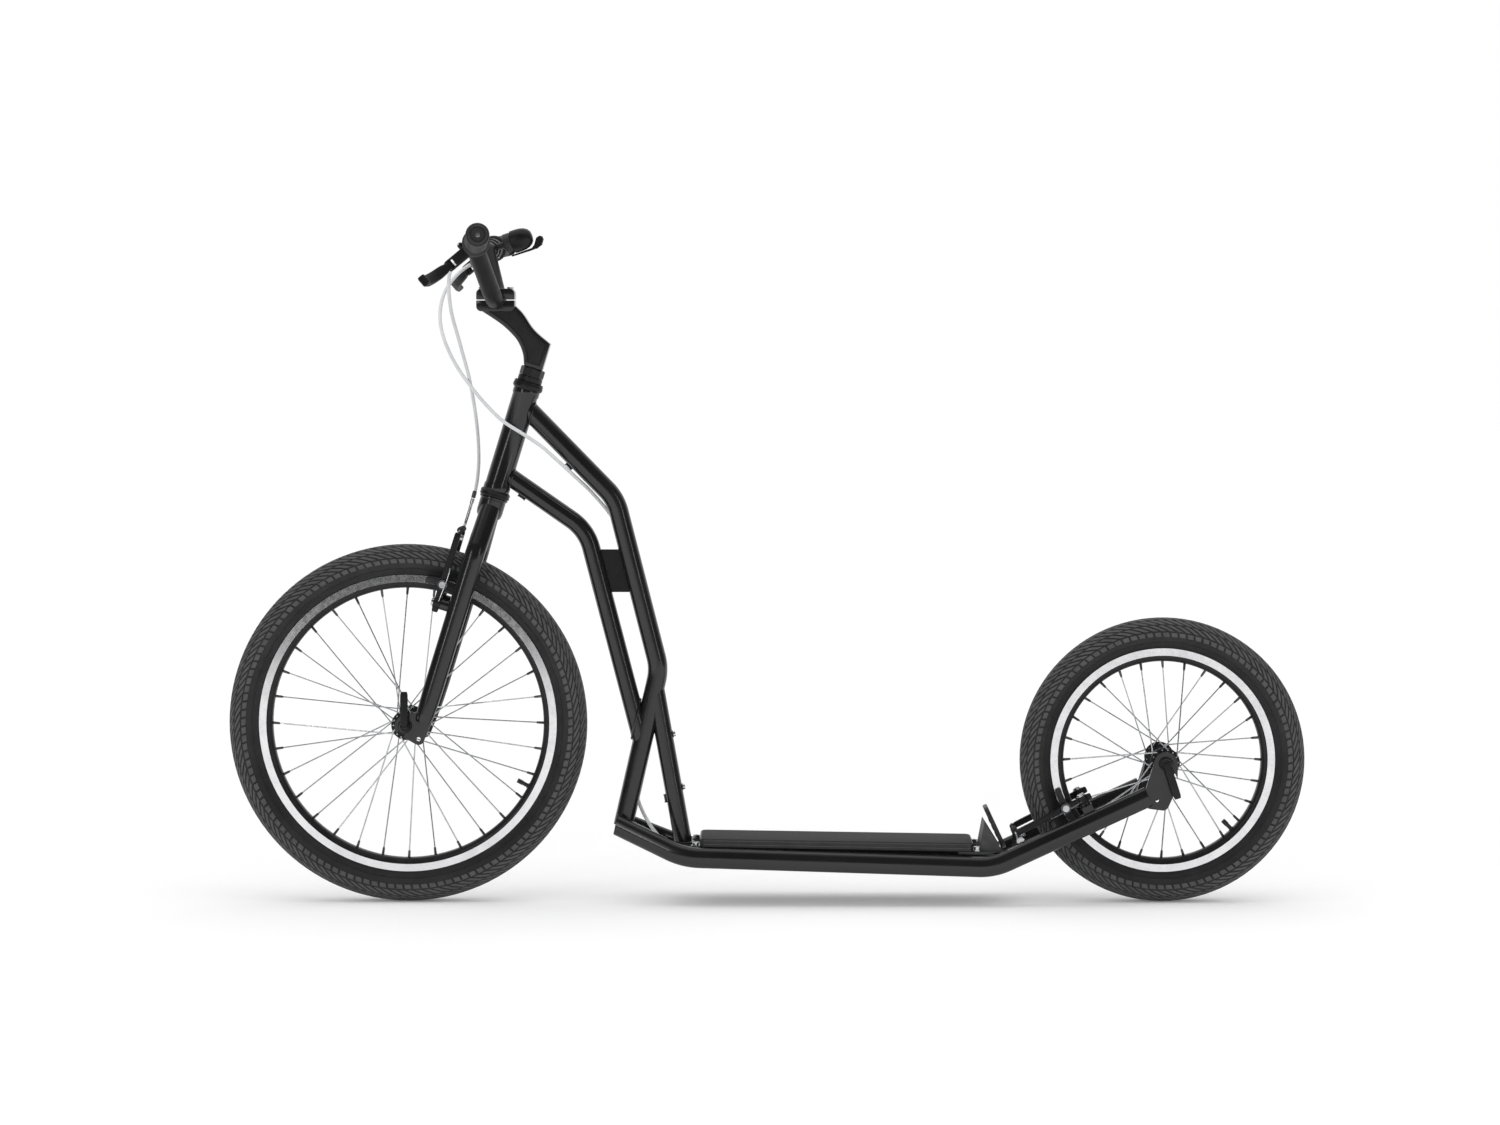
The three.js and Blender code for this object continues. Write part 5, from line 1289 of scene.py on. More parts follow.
def cross_plate(from_x, to_x):
    """A flat bar under the footboard, from rail to rail."""
    half = RAIL_SPACING / 2 - RAIL_WIDTH / 2 - CLEARANCE
    corners = [(from_x, CROSS_THICKNESS), (to_x, CROSS_THICKNESS), (to_x, 0), (from_x, 0)]
    return plate([(x, under_deck(x) - CLEARANCE - drop) for x, drop in corners], -half, half)


def crossmembers():
    front = Shape().add(cross_plate(DECK_FRONT_X - CROSS_LEAD, DECK_FRONT_X + CROSS_REACH))
    front.dress("front_crossmember", "frame", [PAINT], "gloss_frame", mm(0.8))
    start = DECK_REAR_X + BRACKET_LEAD
    end = start + BRACKET_LENGTH
    foot = under_deck(start) - CLEARANCE - BRACKET_SINK
    outline = [(start, foot), (end, foot), (start + BRACKET_LEAD, foot + BRACKET_RISE + DECK_THICKNESS)]
    inside = [(x + BRACKET_OPENING, z) for x, z in outline]
    hollow = plate(inside, SHEET - BRACKET_HALF, BRACKET_HALF - SHEET)
    # The bracket takes the mid grey: a painted reflection that stands for the light its black glossy plate
    # mirrors.
    rear = Shape().add(carved(plate(outline, -BRACKET_HALF, BRACKET_HALF), hollow), slot=1)
    rear.add(cross_plate(DECK_REAR_X - CROSS_REAR_LEAD, end))
    rear.dress("rear_crossmember", "frame", [PAINT, PAINTED_REFLECTION_GREY], "gloss_frame", mm(0.7))
    screws = Shape()
    for x in (DECK_FRONT_X - SCREW_FRONT_SETBACK, DECK_REAR_X + SCREW_REAR_REACH):
        for side in (-1, 1):
            screws.add_bolt(Vector((x, side * SCREW_HALF, under_deck(x))), UP, DECK_WASHER, DECK_SCREW_SHARES)
    screws.build("deck_screws", "frame", [STEEL], "bright_steel")


GUARD_WIDTH = mm(52)
GUARD_HEIGHT = mm(64)
GUARD_CORNER = mm(12)
GUARD_LEAN = math.radians(25)
GUARD_THICKNESS = mm(6.6)
GUARD_SHARES = [(0, 0.242), (0.091, 0.076), (0.242, 0), (0.758, 0), (0.909, 0.076), (1, 0.242)]
RIB_PLACE_SHARES = (0.3125, 0.4844, 0.6563)
RIB_LENGTH = mm(34)
RIB_WIDTH = mm(3)
RIB_CORNER = mm(1.4)
RIB_SHARES = [(-0.167, 0), (-0.067, 0), (0.2, 0.1)]


def heel_guard():
    foot_x = DECK_REAR_X + BRACKET_LEAD + BRACKET_LENGTH
    lean = Vector((-math.sin(GUARD_LEAN), 0, math.cos(GUARD_LEAN)))
    foot = basis(ACROSS, lean, ACROSS.cross(lean), Vector((foot_x, 0, under_deck(foot_x))))
    outline = rounded_rectangle(GUARD_WIDTH, GUARD_HEIGHT, GUARD_CORNER)
    layers = scaled(GUARD_SHARES, GUARD_THICKNESS)
    shape = Shape().add(slab(outline, layers), foot @ Matrix.Translation((0, GUARD_HEIGHT / 2, 0)))
    rib = slab(rounded_rectangle(RIB_LENGTH, RIB_WIDTH, RIB_CORNER), scaled(RIB_SHARES, RIB_WIDTH))
    for share in RIB_PLACE_SHARES:
        shape.add(rib, foot @ Matrix.Translation((0, share * GUARD_HEIGHT, 0)))
    shape.dress("heel_guard", "frame", [PLASTIC], "black_plastic")


# Fork and headset

BLADE_RADIUS = mm(14)
BLADE_DEPTH = mm(11)
BLADE_BEND = mm(40)
BLADE_SHARES = [(0.1534, 0.0341), (0.1364, 0.7443), (0.0256, 0.9261)]
# How far up the blade each lower ring stands, in radii, and how slim it is there
BLADE_TAPER_SHARES = [(0, 0.74), (0.286, 0.84), (1, 0.92), (2.143, 0.97), (3.714, 1), (6.429, 1)]
BLADE_DEPTH_SHARE = 0.06


def fork_blade(side):
    corners = [Vector((0, side * y, z)) * FORK_LENGTH for y, z in BLADE_SHARES]
    (start, heading), *rest = rounded_path(corners, BLADE_BEND)
    lower = [((start + heading * share * BLADE_RADIUS, heading), slim) for share, slim in BLADE_TAPER_SHARES]
    rings = []
    for (place, heading), slim in [*lower, *[(station, 1) for station in rest]]:
        tall = BLADE_DEPTH * min(1, slim + BLADE_DEPTH_SHARE)
        rings.append(circle_ring(place, *frame_round(heading, FORWARD), BLADE_RADIUS * slim, tall, 40))
    return lofted(rings)


FORK_DROPOUT = mm(15)
FORK_DROPOUT_SHARES = [(0, 0, 1), (1.56, -0.8, 0.533), (1.493, 1.2, 0.8)]
FORK_SLOT_SHARES = [(0, 0, 0.347), (-0.347, -1.667, 0.347)]
FORK_EYE_SHARE = (1.56, -0.8, 0.2)
CROWN_SEAT = FORK_LENGTH - mm(9.6)
CROWN_RADIUS = mm(20.2)
CROWN_HEIGHT = mm(30)
CROWN_SHARES = [(0.7673, -1), (0.8713, -0.9), (0.9158, -0.7333), (0.9158, -0.1333), (1, -0.1), (1, -0.0167),
                (0.9703, 0)]
HEADSET_TOP = FORK_LENGTH + HEAD_TUBE_LENGTH + mm(11.6)
STEM_FOOT = HEADSET_TOP + mm(20.3)
STEM_GAP = mm(0.8)
CLAMP_HEIGHT = FORK_LENGTH + HEAD_TUBE_LENGTH + STEM_RISE
STEERER_RADIUS = mm(14.2)
STEERER_BORE = mm(12.9)
FORK_STUD_SHARES = [(-3, -0.6625, 1), (-3, -2.125, 1.175, 1)]


def fork():
    shape = Shape()
    axle = -FORK_RAKE * FORWARD
    for side in (-1, 1):
        shape.add(fork_blade(side), STEERING)
        shape.add(dropout(axle, FORK_DROPOUT, FORK_DROPOUT_SHARES, FORK_SLOT_SHARES, FORK_EYE_SHARE, side,
                          FRONT_HUB_HALF), STEERING)
    crown = scaled(CROWN_SHARES, CROWN_RADIUS, CROWN_HEIGHT, (0, CROWN_SEAT))
    shape.add(turned([(HAIR, CROWN_SEAT - CROWN_HEIGHT), *crown, (HAIR, CROWN_SEAT)], 56), COLUMN)
    top = STEM_FOOT - STEM_GAP
    steerer = [(STEERER_BORE, CROWN_SEAT), (STEERER_RADIUS, CROWN_SEAT), (STEERER_RADIUS, top),
               (STEERER_BORE, top)]
    shape.add(turned(steerer), COLUMN)
    for side in (-1, 1):
        shape.add_rods(side * PIVOT_HALF * ACROSS, FORWARD, STUD_RADIUS, FORK_STUD_SHARES, FRONT_BRAKE, 0, 36)
    shape.dress("fork", "steering", [PAINT], "gloss_frame", mm(0.5))


HEADSET_RADIUS = mm(20)
LOWER_CUP_FOOT = FORK_LENGTH - mm(9.3)
LOWER_CUP_HEIGHT = mm(9)
LOWER_CUP_SHARES = [(0.75, 0), (1.02, 0), (1.07, 0.111), (1.07, 0.333), (1.03, 0.378), (1.03, 0.444),
                    (1.07, 0.489), (1.07, 0.778), (0.98, 1), (0.75, 1)]
UPPER_CUP_FOOT = FORK_LENGTH + HEAD_TUBE_LENGTH + CLEARANCE
UPPER_CUP_HEIGHT = mm(11)
UPPER_CUP_SHARES = [(0.75, 0), (0.98, 0), (1.07, 0.236), (1.07, 0.545), (1.03, 0.582), (1.03, 0.636),
                    (1.06, 0.673), (1, 1), (0.75, 1)]
NUT_BASE_SHARES = [(0.73, 0), (0.86, 0), (0.87, 0.03), (0.87, 0.35), (0.82, 0.38), (0.73, 0.38)]
NUT_HEAD_SHARES = [(0.73, 0.4), (0.87, 0.4), (0.87, 0.93), (0.81, 1), (0.73, 1)]


def headset():
    lower = scaled(LOWER_CUP_SHARES, HEADSET_RADIUS, LOWER_CUP_HEIGHT, (0, LOWER_CUP_FOOT))
    upper = scaled(UPPER_CUP_SHARES, HEADSET_RADIUS, UPPER_CUP_HEIGHT, (0, UPPER_CUP_FOOT))
    for name, cup in (("lower", lower), ("upper", upper)):
        shape = Shape().add(turned(cup, 56), COLUMN)
        shape.dress(name + "_headset_cup", "frame", [ALLOY], "black_alloy")
    nut = Shape().add(turned(scaled(NUT_BASE_SHARES, HEADSET_RADIUS, origin=(0, HEADSET_TOP)), 56), COLUMN)
    nut.add(turned(scaled(NUT_HEAD_SHARES, HEADSET_RADIUS, origin=(0, HEADSET_TOP)), 8), COLUMN)
    nut.dress("headset_nut", "steering", [ALLOY], "black_alloy", mm(0.4))


# Stem, clamp and handlebar

NECK_FOOT_SHARES = [(0.17, 0)]
NECK_BACK_SHARES = [(0.17, 0.52), (-0.18, 0.68), (-0.45, 0.9), (-0.62, 1)]
NECK_NOSE_SHARES = [(-1.25, 0.9)]
NECK_FRONT_SHARES = [(-1.29, 0.76), (-0.82, 0.62), (-0.56, 0.5), (-0.39, 0.38), (-0.25, 0.2), (-0.17, 0)]
NECK_HALF = mm(15)
NECK_ROUNDING = mm(2.2)
NECK_POCKET = mm(1.2)
QUILL_RADIUS = mm(12.5)
QUILL_DEPTH = mm(60)
QUILL_SHARES = [(0.004, -1), (1, -1), (1, 0.05), (0.004, 0.05)]
CLAMP = Matrix.Translation(STEERING @ Vector((-STEM_REACH, 0, CLAMP_HEIGHT)))
CLAMP_HALF_LENGTH = mm(27)
CLAMP_HALF_WIDTH = mm(20)
CLAMP_RISE = mm(16)
CLAMP_ROUNDING = mm(7)
CLAMP_EDGE = mm(0.8)
CLAMP_BEVEL = mm(1.6)
CLAMP_SLIT = mm(1.4)
STEM_BOLT_X = mm(20)
STEM_BOLT_Y = mm(11)
STEM_BOLT_SEAT = mm(13.4)
STEM_WASHER = mm(5)
STEM_BOLT_SHARES = (0.24, 0.8, 0.72)


def clamp_half(side):
    """Half of the bar's clamp: a block with two rounded edges, bored for the bar."""
    outline = []
    for turn, (sx, sz) in enumerate(((1, 1), (-1, 1), (-1, -1), (1, -1))):
        radius = CLAMP_ROUNDING if sz == side else CLAMP_EDGE
        edge = CLAMP_RISE if sz == side else CLAMP_SLIT / 2
        centre = (sx * (CLAMP_HALF_LENGTH - radius), side * edge - sz * radius)
        for step in range(7):
            angle = math.pi / 2 * (turn + step / 6)
            outline.append((centre[0] + radius * math.cos(angle), centre[1] + radius * math.sin(angle)))
    reach = CLAMP_HALF_WIDTH + OVERRUN
    bore = rod(-ACROSS * reach, ACROSS * reach, BAR_RADIUS + HAIR, segments=48)
    return carved(pillowed(outline, CLAMP_HALF_WIDTH, CLAMP_BEVEL), bore)


def stem():
    def neck(shares):
        height = CLAMP_HEIGHT - STEM_FOOT
        return [Vector(place) for place in scaled(shares, STEM_REACH, height, (0, STEM_FOOT))]

    outline = neck(NECK_FOOT_SHARES) + smooth_line(neck(NECK_BACK_SHARES), 5)
    outline += neck(NECK_NOSE_SHARES) + smooth_line(neck(NECK_FRONT_SHARES), 5)
    shape = Shape().add(pillowed(outline, NECK_HALF, NECK_ROUNDING, pocket=NECK_POCKET), STEERING)
    shape.add(turned(scaled(QUILL_SHARES, QUILL_RADIUS, QUILL_DEPTH, (0, STEM_FOOT))), COLUMN)
    shape.add(clamp_half(-1), CLAMP)
    shape.dress("stem", "steering", [PAINT], "gloss_alloy")
    Shape().add(clamp_half(1), CLAMP).dress("stem_cap", "steering", [PAINT], "gloss_alloy")
    bolts = Shape()
    for x in (-STEM_BOLT_X, STEM_BOLT_X):
        for y in (-STEM_BOLT_Y, STEM_BOLT_Y):
            bolts.add_bolt(Vector((x, y, STEM_BOLT_SEAT)), UP, STEM_WASHER, STEM_BOLT_SHARES, CLAMP)
    bolts.build("stem_bolts", "steering", [STEEL], "bright_steel")


GRIP_LENGTH = mm(127)
LEVER_LATERAL = BAR_WIDTH / 2 - GRIP_LENGTH - mm(18)
SHOULDER_LATERAL = LEVER_LATERAL - 0.0759 * BAR_WIDTH
INNER_LATERAL = 0.0726 * BAR_WIDTH
BAR_BEND = 0.662 * (SHOULDER_LATERAL - INNER_LATERAL)
BAR_TIP_LEAD = mm(4)
BAR_SHOULDER_LEAD = mm(21.5)
BAR_SHOULDER_RISE = 0.857 * BAR_RISE
BAR_TIP = Vector((-BAR_TIP_LEAD, BAR_WIDTH / 2, BAR_RISE))
BAR_SHOULDER = Vector((-BAR_SHOULDER_LEAD, SHOULDER_LATERAL, BAR_SHOULDER_RISE))
BAR_RUN = (BAR_TIP - BAR_SHOULDER).normalized()
FAT_REACH = mm(11)
FAT_TAPER = mm(5)
LEVER_DROP = 40


def along_bar(lateral):
    return BAR_SHOULDER + BAR_RUN * (lateral - SHOULDER_LATERAL) / BAR_RUN.y


def bar_frame(lateral, aim):
    """A frame on the bar's right half: its x towards the aim, its y along the bar."""
    outward = (aim - aim.dot(BAR_RUN) * BAR_RUN).normalized()
    return CLAMP @ basis(outward, BAR_RUN, outward.cross(BAR_RUN), along_bar(lateral))


def forward_and_down(degrees):
    return -spun(math.radians(degrees))


def both_sides(lateral):
    """The frames at one place of both halves of the bar, with their names."""
    place = bar_frame(lateral, forward_and_down(LEVER_DROP))
    return (("left", MIRROR @ place), ("right", place))


def handlebar():
    """The slim ends that hold the grips, and the fatter middle that tapers into them."""
    flip = Matrix.Diagonal((1, -1, 1))
    inner = ACROSS * INNER_LATERAL
    whole = [flip @ BAR_TIP, flip @ BAR_SHOULDER, flip @ inner, inner, BAR_SHOULDER, BAR_TIP]
    slim = swept(rounded_path(whole, BAR_BEND), GRIP_SEAT_RADIUS, FORWARD, 36)
    fat_end = along_bar(SHOULDER_LATERAL + FAT_REACH)
    path = rounded_path([flip @ fat_end, *whole[1:5], fat_end], BAR_BEND, 16)
    first, last = [(place + way * heading * FAT_TAPER, heading) for way, (place, heading) in
                   ((-1, path[0]), (1, path[-1]))]
    sizes = [GRIP_SEAT_RADIUS, *[BAR_RADIUS] * len(path), GRIP_SEAT_RADIUS]
    fat = lofted([circle_ring(place, *frame_round(heading, FORWARD), radius, segments=40)
                  for (place, heading), radius in zip([first, *path, last], sizes)])
    shape = Shape().add(slim, CLAMP).add(fat, CLAMP)
    shape.dress("handlebar", "steering", [BAR_BLACK], "gloss_alloy")


GRIP_RADIUS = mm(15)
GRIP_FLANGE_SHARES = [(0.743, 0), (1.2, 0), (1.267, 0.067), (1.267, 0.267), (1.2, 0.333), (1.04, 0.373)]
GRIP_RINGS = 16
GRIP_RING_PITCH = mm(6.2)
GRIP_RING_FOOT = mm(9)
GRIP_SWELL = mm(0.9)
GRIP_RING_SHARES = [(0.973, 0), (1.013, 0.177), (1.013, 0.645), (0.973, 0.823)]
GRIP_END_SHARES = [(1, -1.133), (1.08, -1.04), (1.08, -0.133), (1.027, -0.027), (0.743, -0.027)]
PLUG_RADIUS = mm(13)
PLUG_SHARES = [
    (0.004, -1.077), (0.615, -1.077), (0.615, 0), (0.938, 0), (1, 0.069), (1, 0.2), (0.923, 0.292),
    (0.815, 0.308), (0.769, 0.231), (0.677, 0.231), (0.638, 0.3), (0.004, 0.3),
]
PLUG_DISC_SHARES = [(0.004, 0.277), (0.277, 0.277), (0.277, 0.304), (0.246, 0.308), (0.004, 0.308)]


def grip_profile():
    outline = scaled(GRIP_FLANGE_SHARES, GRIP_RADIUS, origin=(0, -GRIP_LENGTH))
    for k in range(GRIP_RINGS):
        foot = GRIP_RING_FOOT - GRIP_LENGTH + k * GRIP_RING_PITCH
        swell = GRIP_SWELL * math.sin(math.pi * (k + 0.5) / GRIP_RINGS)
        outline += scaled(GRIP_RING_SHARES, GRIP_RADIUS, GRIP_RING_PITCH, (swell, foot))
    return outline + scaled(GRIP_END_SHARES, GRIP_RADIUS)


def grips():
    for name, place in both_sides(BAR_WIDTH / 2):
        Shape().add(turned(grip_profile(), 56), place).dress(name + "_grip", "steering", [GRIP], "grip")
        plug = Shape().add(turned(scaled(PLUG_SHARES, PLUG_RADIUS)), place)
        plug.add(turned(scaled(PLUG_DISC_SHARES, PLUG_RADIUS), 40), place, 1)
        plug.dress(name + "_bar_plug", "steering", [PLASTIC, STEEL], "black_plastic")


LEVER_PIVOT = mm(44)
RING_RADIUS = mm(15.5)
RING_HALF = mm(8)
RING_SHARES = [(0.723, -1), (0.942, -1), (1, -0.875), (1, 0.875), (0.942, 1), (0.723, 1)]
BRACKET_SHARES = [(0.295, 0, 0.173), (1, 0, 0.15), (0.727, -0.068, 0.114)]
BRACKET_ROUNDING = mm(1.8)
BRACKET_SLOT_SHARES = [(1, 0, 0.205), (1.364, 0, 0.205), (1.364, -0.682, 0.205)]
BRACKET_SLOT_HALF = mm(5.3)
BRACKET_PIN_SHARES = [(-0.186, 0.186, 0.077)]
ADJUSTER_PLACE = mm(32, 0, 0)
ADJUSTER_RADIUS = mm(4)
# The adjuster's parts outward along the bar, each with the number of its sides
ADJUSTER_SHARES = [(32, 1.75, 4.25, 1.025), (12, 4.25, 5.25, 1.3), (28, 5.25, 6.9, 0.975, 0.85)]
ADJUSTER_SHARES += [(16, 2.25 + 0.375 * k, 2.45 + 0.375 * k, 1.125) for k in range(6)]
PINCH_PLACE = mm(17, -2, -14)
PINCH_RADIUS = mm(4.2)
PINCH_SHARES = [(0, 5.238, 1)]
PINCH_SCREW_RADIUS = mm(3.6)
PINCH_SCREW_LENGTH = mm(2)


def lever_bracket(name, place):
    shape = Shape().add(turned(scaled(RING_SHARES, RING_RADIUS, RING_HALF)), place)
    body = pillowed(round_hull(sized_discs(BRACKET_SHARES, LEVER_PIVOT)), RING_HALF, BRACKET_ROUNDING)
    opening = round_hull(sized_discs(BRACKET_SLOT_SHARES, LEVER_PIVOT))
    slot = plate(opening, -BRACKET_SLOT_HALF, BRACKET_SLOT_HALF)
    shape.add(carved(body, slot), place @ Matrix.Rotation(math.radians(-90), 4, "X"))
    for sides, *shares in ADJUSTER_SHARES:
        shape.add_rods(ADJUSTER_PLACE, -ACROSS, ADJUSTER_RADIUS, [shares], place, 0, sides)
    shape.add_rods(LEVER_PIVOT * FORWARD, UP, LEVER_PIVOT, BRACKET_PIN_SHARES, place)
    shape.add(socket_screw(PINCH_PLACE, -UP, PINCH_SCREW_RADIUS, PINCH_SCREW_LENGTH), place, 1)
    shape.add_rods(PINCH_PLACE, UP, PINCH_RADIUS, PINCH_SHARES, place)
    shape.dress(name + "_lever_bracket", "steering", [ALLOY, STEEL], "black_alloy", mm(0.3))


LEVER_SPAN = mm(100)
# Along the lever: the place out from the bar and along it, then the half height and half depth there
LEVER_SPAN_SHARES = [
    (0.44, 0, 0.046, 0.058), (0.5, 0.04, 0.052, 0.06), (0.587, 0.115, 0.072, 0.056),
    (0.66, 0.21, 0.078, 0.048), (0.744, 0.346, 0.079, 0.043),
    (0.805, 0.5, 0.079, 0.041), (0.857, 0.666, 0.079, 0.04),
    (0.886, 0.84, 0.079, 0.04), (0.906, 1.024, 0.079, 0.042), (0.918, 1.16, 0.079, 0.047),
    (0.93, 1.26, 0.078, 0.054), (0.934, 1.32, 0.07, 0.048), (0.935, 1.34, 0.056, 0.036),
]


def brake_lever(name, place):
    spots = [Vector((x, y, 0)) * LEVER_SPAN for x, y, _, _ in LEVER_SPAN_SHARES]
    sizes = [Vector((high, deep, 0)) * LEVER_SPAN for _, _, high, deep in LEVER_SPAN_SHARES]
    rings = [
        rounded_box_ring(spot, *frame_round(heading, UP), size.x, size.y, 0.5, 5)
        for (spot, heading), size in zip(with_headings(smooth_line(spots, 3)), smooth_line(sizes, 3))
    ]
    shape = Shape().add(lofted(rings), place)
    shape.dress(name + "_brake_lever", name + "_lever", [LEVER_BLACK], "black_alloy")


def brake_levers():
    for name, place in both_sides(LEVER_LATERAL):
        lever_bracket(name, place)
        brake_lever(name, place)


BELL_SETBACK = mm(20)
BELL_TILT = 18
BELL_RING_RADIUS = mm(14)
BELL_RING_SHARES = [(0.8, -0.357), (0.957, -0.357), (1, -0.314), (1, 0.314), (0.957, 0.357), (0.8, 0.357)]
BELL_RADIUS = mm(15)
BELL_STUB_SHARES = [(0.8, 1.8, 0.333)]
BELL_DISC_SHARES = [(0.007, 1.6), (0.907, 1.6), (1, 1.693), (1, 2.24), (0.947, 2.333), (0.007, 2.333)]
BELL_PIVOT_SHARES = [(0.8, 1.133, 0.26)]
BELL_PIVOT_SHARE = 1.933
BELL_SCREW_PLACE = mm(8, 0, -14.4)
BELL_SCREW_RADIUS = mm(2.6)
BELL_SCREW_LENGTH = mm(1.6)
DOME_SHARES = [
    (1, 2.353), (1.087, 2.413), (1.1, 2.667), (1.093, 3.067), (1.053, 3.467), (0.947, 3.84), (0.76, 4.133),
    (0.493, 4.333), (0.227, 4.393), (0.007, 4.4),
]
DOME_WALL = mm(1.6)
DOME_CROWN = mm(1.2)
DOME_BUTTON_SHARES = [(0.007, 4.267), (0.2, 4.293), (0.2, 4.393), (0.16, 4.4), (0.007, 4.4)]
BELL_LEVER_SHARES = [
    (1.947, -1.307), (3.867, -1.32), (4.6, -1.267), (5.067, -1.027), (5.307, -0.667), (5.293, -0.36),
    (5.067, -0.2), (4.76, -0.293), (4.56, -0.56), (4.36, -0.867), (4.04, -1.093), (1.947, -1.153),
]
BELL_LEVER_HALF = mm(5.4)
BELL_LEVER_ROUNDING = mm(0.6)
BELL_RIDGE_SHARES = [(-0.267, 0.267, 0.047)]
BELL_RIDGE_PLACE_SHARES = [(4.467 + 0.173 * k, -1.28 + 0.06 * k) for k in range(4)]


def bell():
    place = bar_frame(LEVER_LATERAL - BELL_SETBACK, -forward_and_down(BELL_TILT))
    along = place @ Matrix.Rotation(math.radians(-90), 4, "Z")
    base = Shape().add(turned(scaled(BELL_RING_SHARES, BELL_RING_RADIUS), 40), place)
    base.add_rods(Vector(), FORWARD, BELL_RADIUS, BELL_STUB_SHARES, place, 0, 28)
    base.add(turned(scaled(BELL_DISC_SHARES, BELL_RADIUS)), along)
    pivot = BELL_PIVOT_SHARE * BELL_RADIUS * FORWARD
    base.add_rods(pivot, -UP, BELL_RADIUS, BELL_PIVOT_SHARES, place, 0, 28)
    base.add(socket_screw(BELL_SCREW_PLACE, -UP, BELL_SCREW_RADIUS, BELL_SCREW_LENGTH), place, 1)
    base.dress("bell_base", "steering", [PLASTIC, STEEL], "black_plastic")
    (lip, foot), *outside = scaled(DOME_SHARES, BELL_RADIUS)
    inside = [(r - DOME_WALL, y - DOME_CROWN) for r, y in outside[-2::-1]]
    dome = Shape().add(turned([(lip, foot), *outside, *inside, (lip - DOME_WALL, foot)], 64), along)
    dome.add(turned(scaled(DOME_BUTTON_SHARES, BELL_RADIUS), 32), along)
    dome.dress("bell_dome", "steering", [ALLOY], "black_alloy")
    outline = scaled(BELL_LEVER_SHARES, BELL_RADIUS)
    lever = Shape().add(pillowed(outline, BELL_LEVER_HALF, BELL_LEVER_ROUNDING), place)
    for x, z in BELL_RIDGE_PLACE_SHARES:
        middle = Vector((x, 0, z)) * BELL_RADIUS
        lever.add_rods(middle, ACROSS, BELL_RADIUS, BELL_RIDGE_SHARES, place, 0, 10)
    lever.dress("bell_lever", "bell_lever", [LEVER_BLACK], "black_plastic")


# Cables, laid along the frame's own routes in millimetres

FRONT_ROUTE = [
    (-426.15, -133.1, 904.95), (-430, -118, 902), (-440, -98, 886), (-441, -70, 842), (-430, -40, 790),
    (-420, -14, 745), (-414, 14, 700), (-411, 34, 660), (-411, 48, 620), (-415, 54, 588), (-419.5, 54, 570.7),
]
REAR_ROUTE = [
    (-426.15, 133.1, 904.95), (-431, 117, 902), (-447, 96, 887), (-461, 70, 862), (-465, 44, 832),
    (-458, 18, 800), (-440, -4, 763), (-417, -18, 731), (-394, -24, 704), (-371, -26, 682), (-343, -26, 664),
    (-318, -23, 647), (-298, -16, 629), (-274, -4, 606), (-246, 10, 578), (-218, 16, 543),
    (-195.8, 16.1, 500),
    (-183.1, 16.1, 450), (-170.4, 16.1, 400), (-159, 16.2, 345), (-164.5, 16.1, 280), (-182.8, 16.1, 200),
    (-187, 16.5, 160), (-178, 16, 128), (-160, 12, 98), (-136, 8, 74), (-105, 6, 60), (-50, 5, 56),
    (60, 5, 54), (180, 8, 50), (270, 18, 46), (325, 32, 46), (352, 38, 52), (365, 41, 64), (362.3, 42, 79.2),
]
HOUSING_DIAMETER = mm(5)
FERRULE_SHARES = [(0.06, 1.8, 0.62), (1.72, 2.08, 0.62, 0.54)]


def centripetal(points, steps):
    """A smooth line through a cable's points, evenly tense even where they lie close together."""
    ends = [2 * points[0] - points[1], *points, 2 * points[-1] - points[-2]]
    line = []
    for a, b, c, d in zip(ends, ends[1:], ends[2:], ends[3:]):
        t1 = (b - a).length ** 0.5
        t2 = t1 + (c - b).length ** 0.5
        t3 = t2 + (d - c).length ** 0.5
        for step in range(steps):
            t = t1 + (t2 - t1) * step / steps
            share = (t - t1) / (t2 - t1)
            middle = b.lerp(c, share)
            before = a.lerp(b, t / t1).lerp(middle, t / t2)
            after = middle.lerp(c.lerp(d, (t - t2) / (t3 - t2)), (t - t1) / (t3 - t1))
            line.append(before.lerp(after, share))
    line.append(points[-1])
    return line


def even_rings(path, radius, segments=16):
    """A round tube whose rings follow each other without twisting."""
    across = frame_round(path[0][1], Vector((0.3, 1, 0.2)))[0]
    rings = []
    for place, heading in path:
        across = (across - across.dot(heading) * heading).normalized()
        rings.append(circle_ring(place, across, heading.cross(across), radius, segments=segments))
    return lofted(rings)


def ferrule(name, body, place, heading):
    shape = Shape().add_rods(place, heading, HOUSING_DIAMETER, FERRULE_SHARES, segments=28)
    shape.build(name, body, [DARK_STEEL], "bright_steel")


def cable(name, route, body, last_body):
    """One cable in its housing, with a ferrule at each end. Where it has no body, it spans two of them."""
    line = centripetal([mm(*place) for place in route], 8)
    path = with_headings(line)
    shape = Shape().add(even_rings(path, HOUSING_DIAMETER / 2))
    node = name + "_brake_cable"
    piece = shape.build(node + "_housing", body, [SLEEVE], "cable", replaces=[node])
    ferrule(name + "_cable_ferrule", "steering", *path[0])
    ferrule(name + "_noodle_ferrule", last_body, path[-1][0], -path[-1][1])
    return piece


def cables():
    cable("front", FRONT_ROUTE, "steering", "steering")
    rear = cable("rear", REAR_ROUTE, None, "frame")
    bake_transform(rear)


# The floor, lights and camera

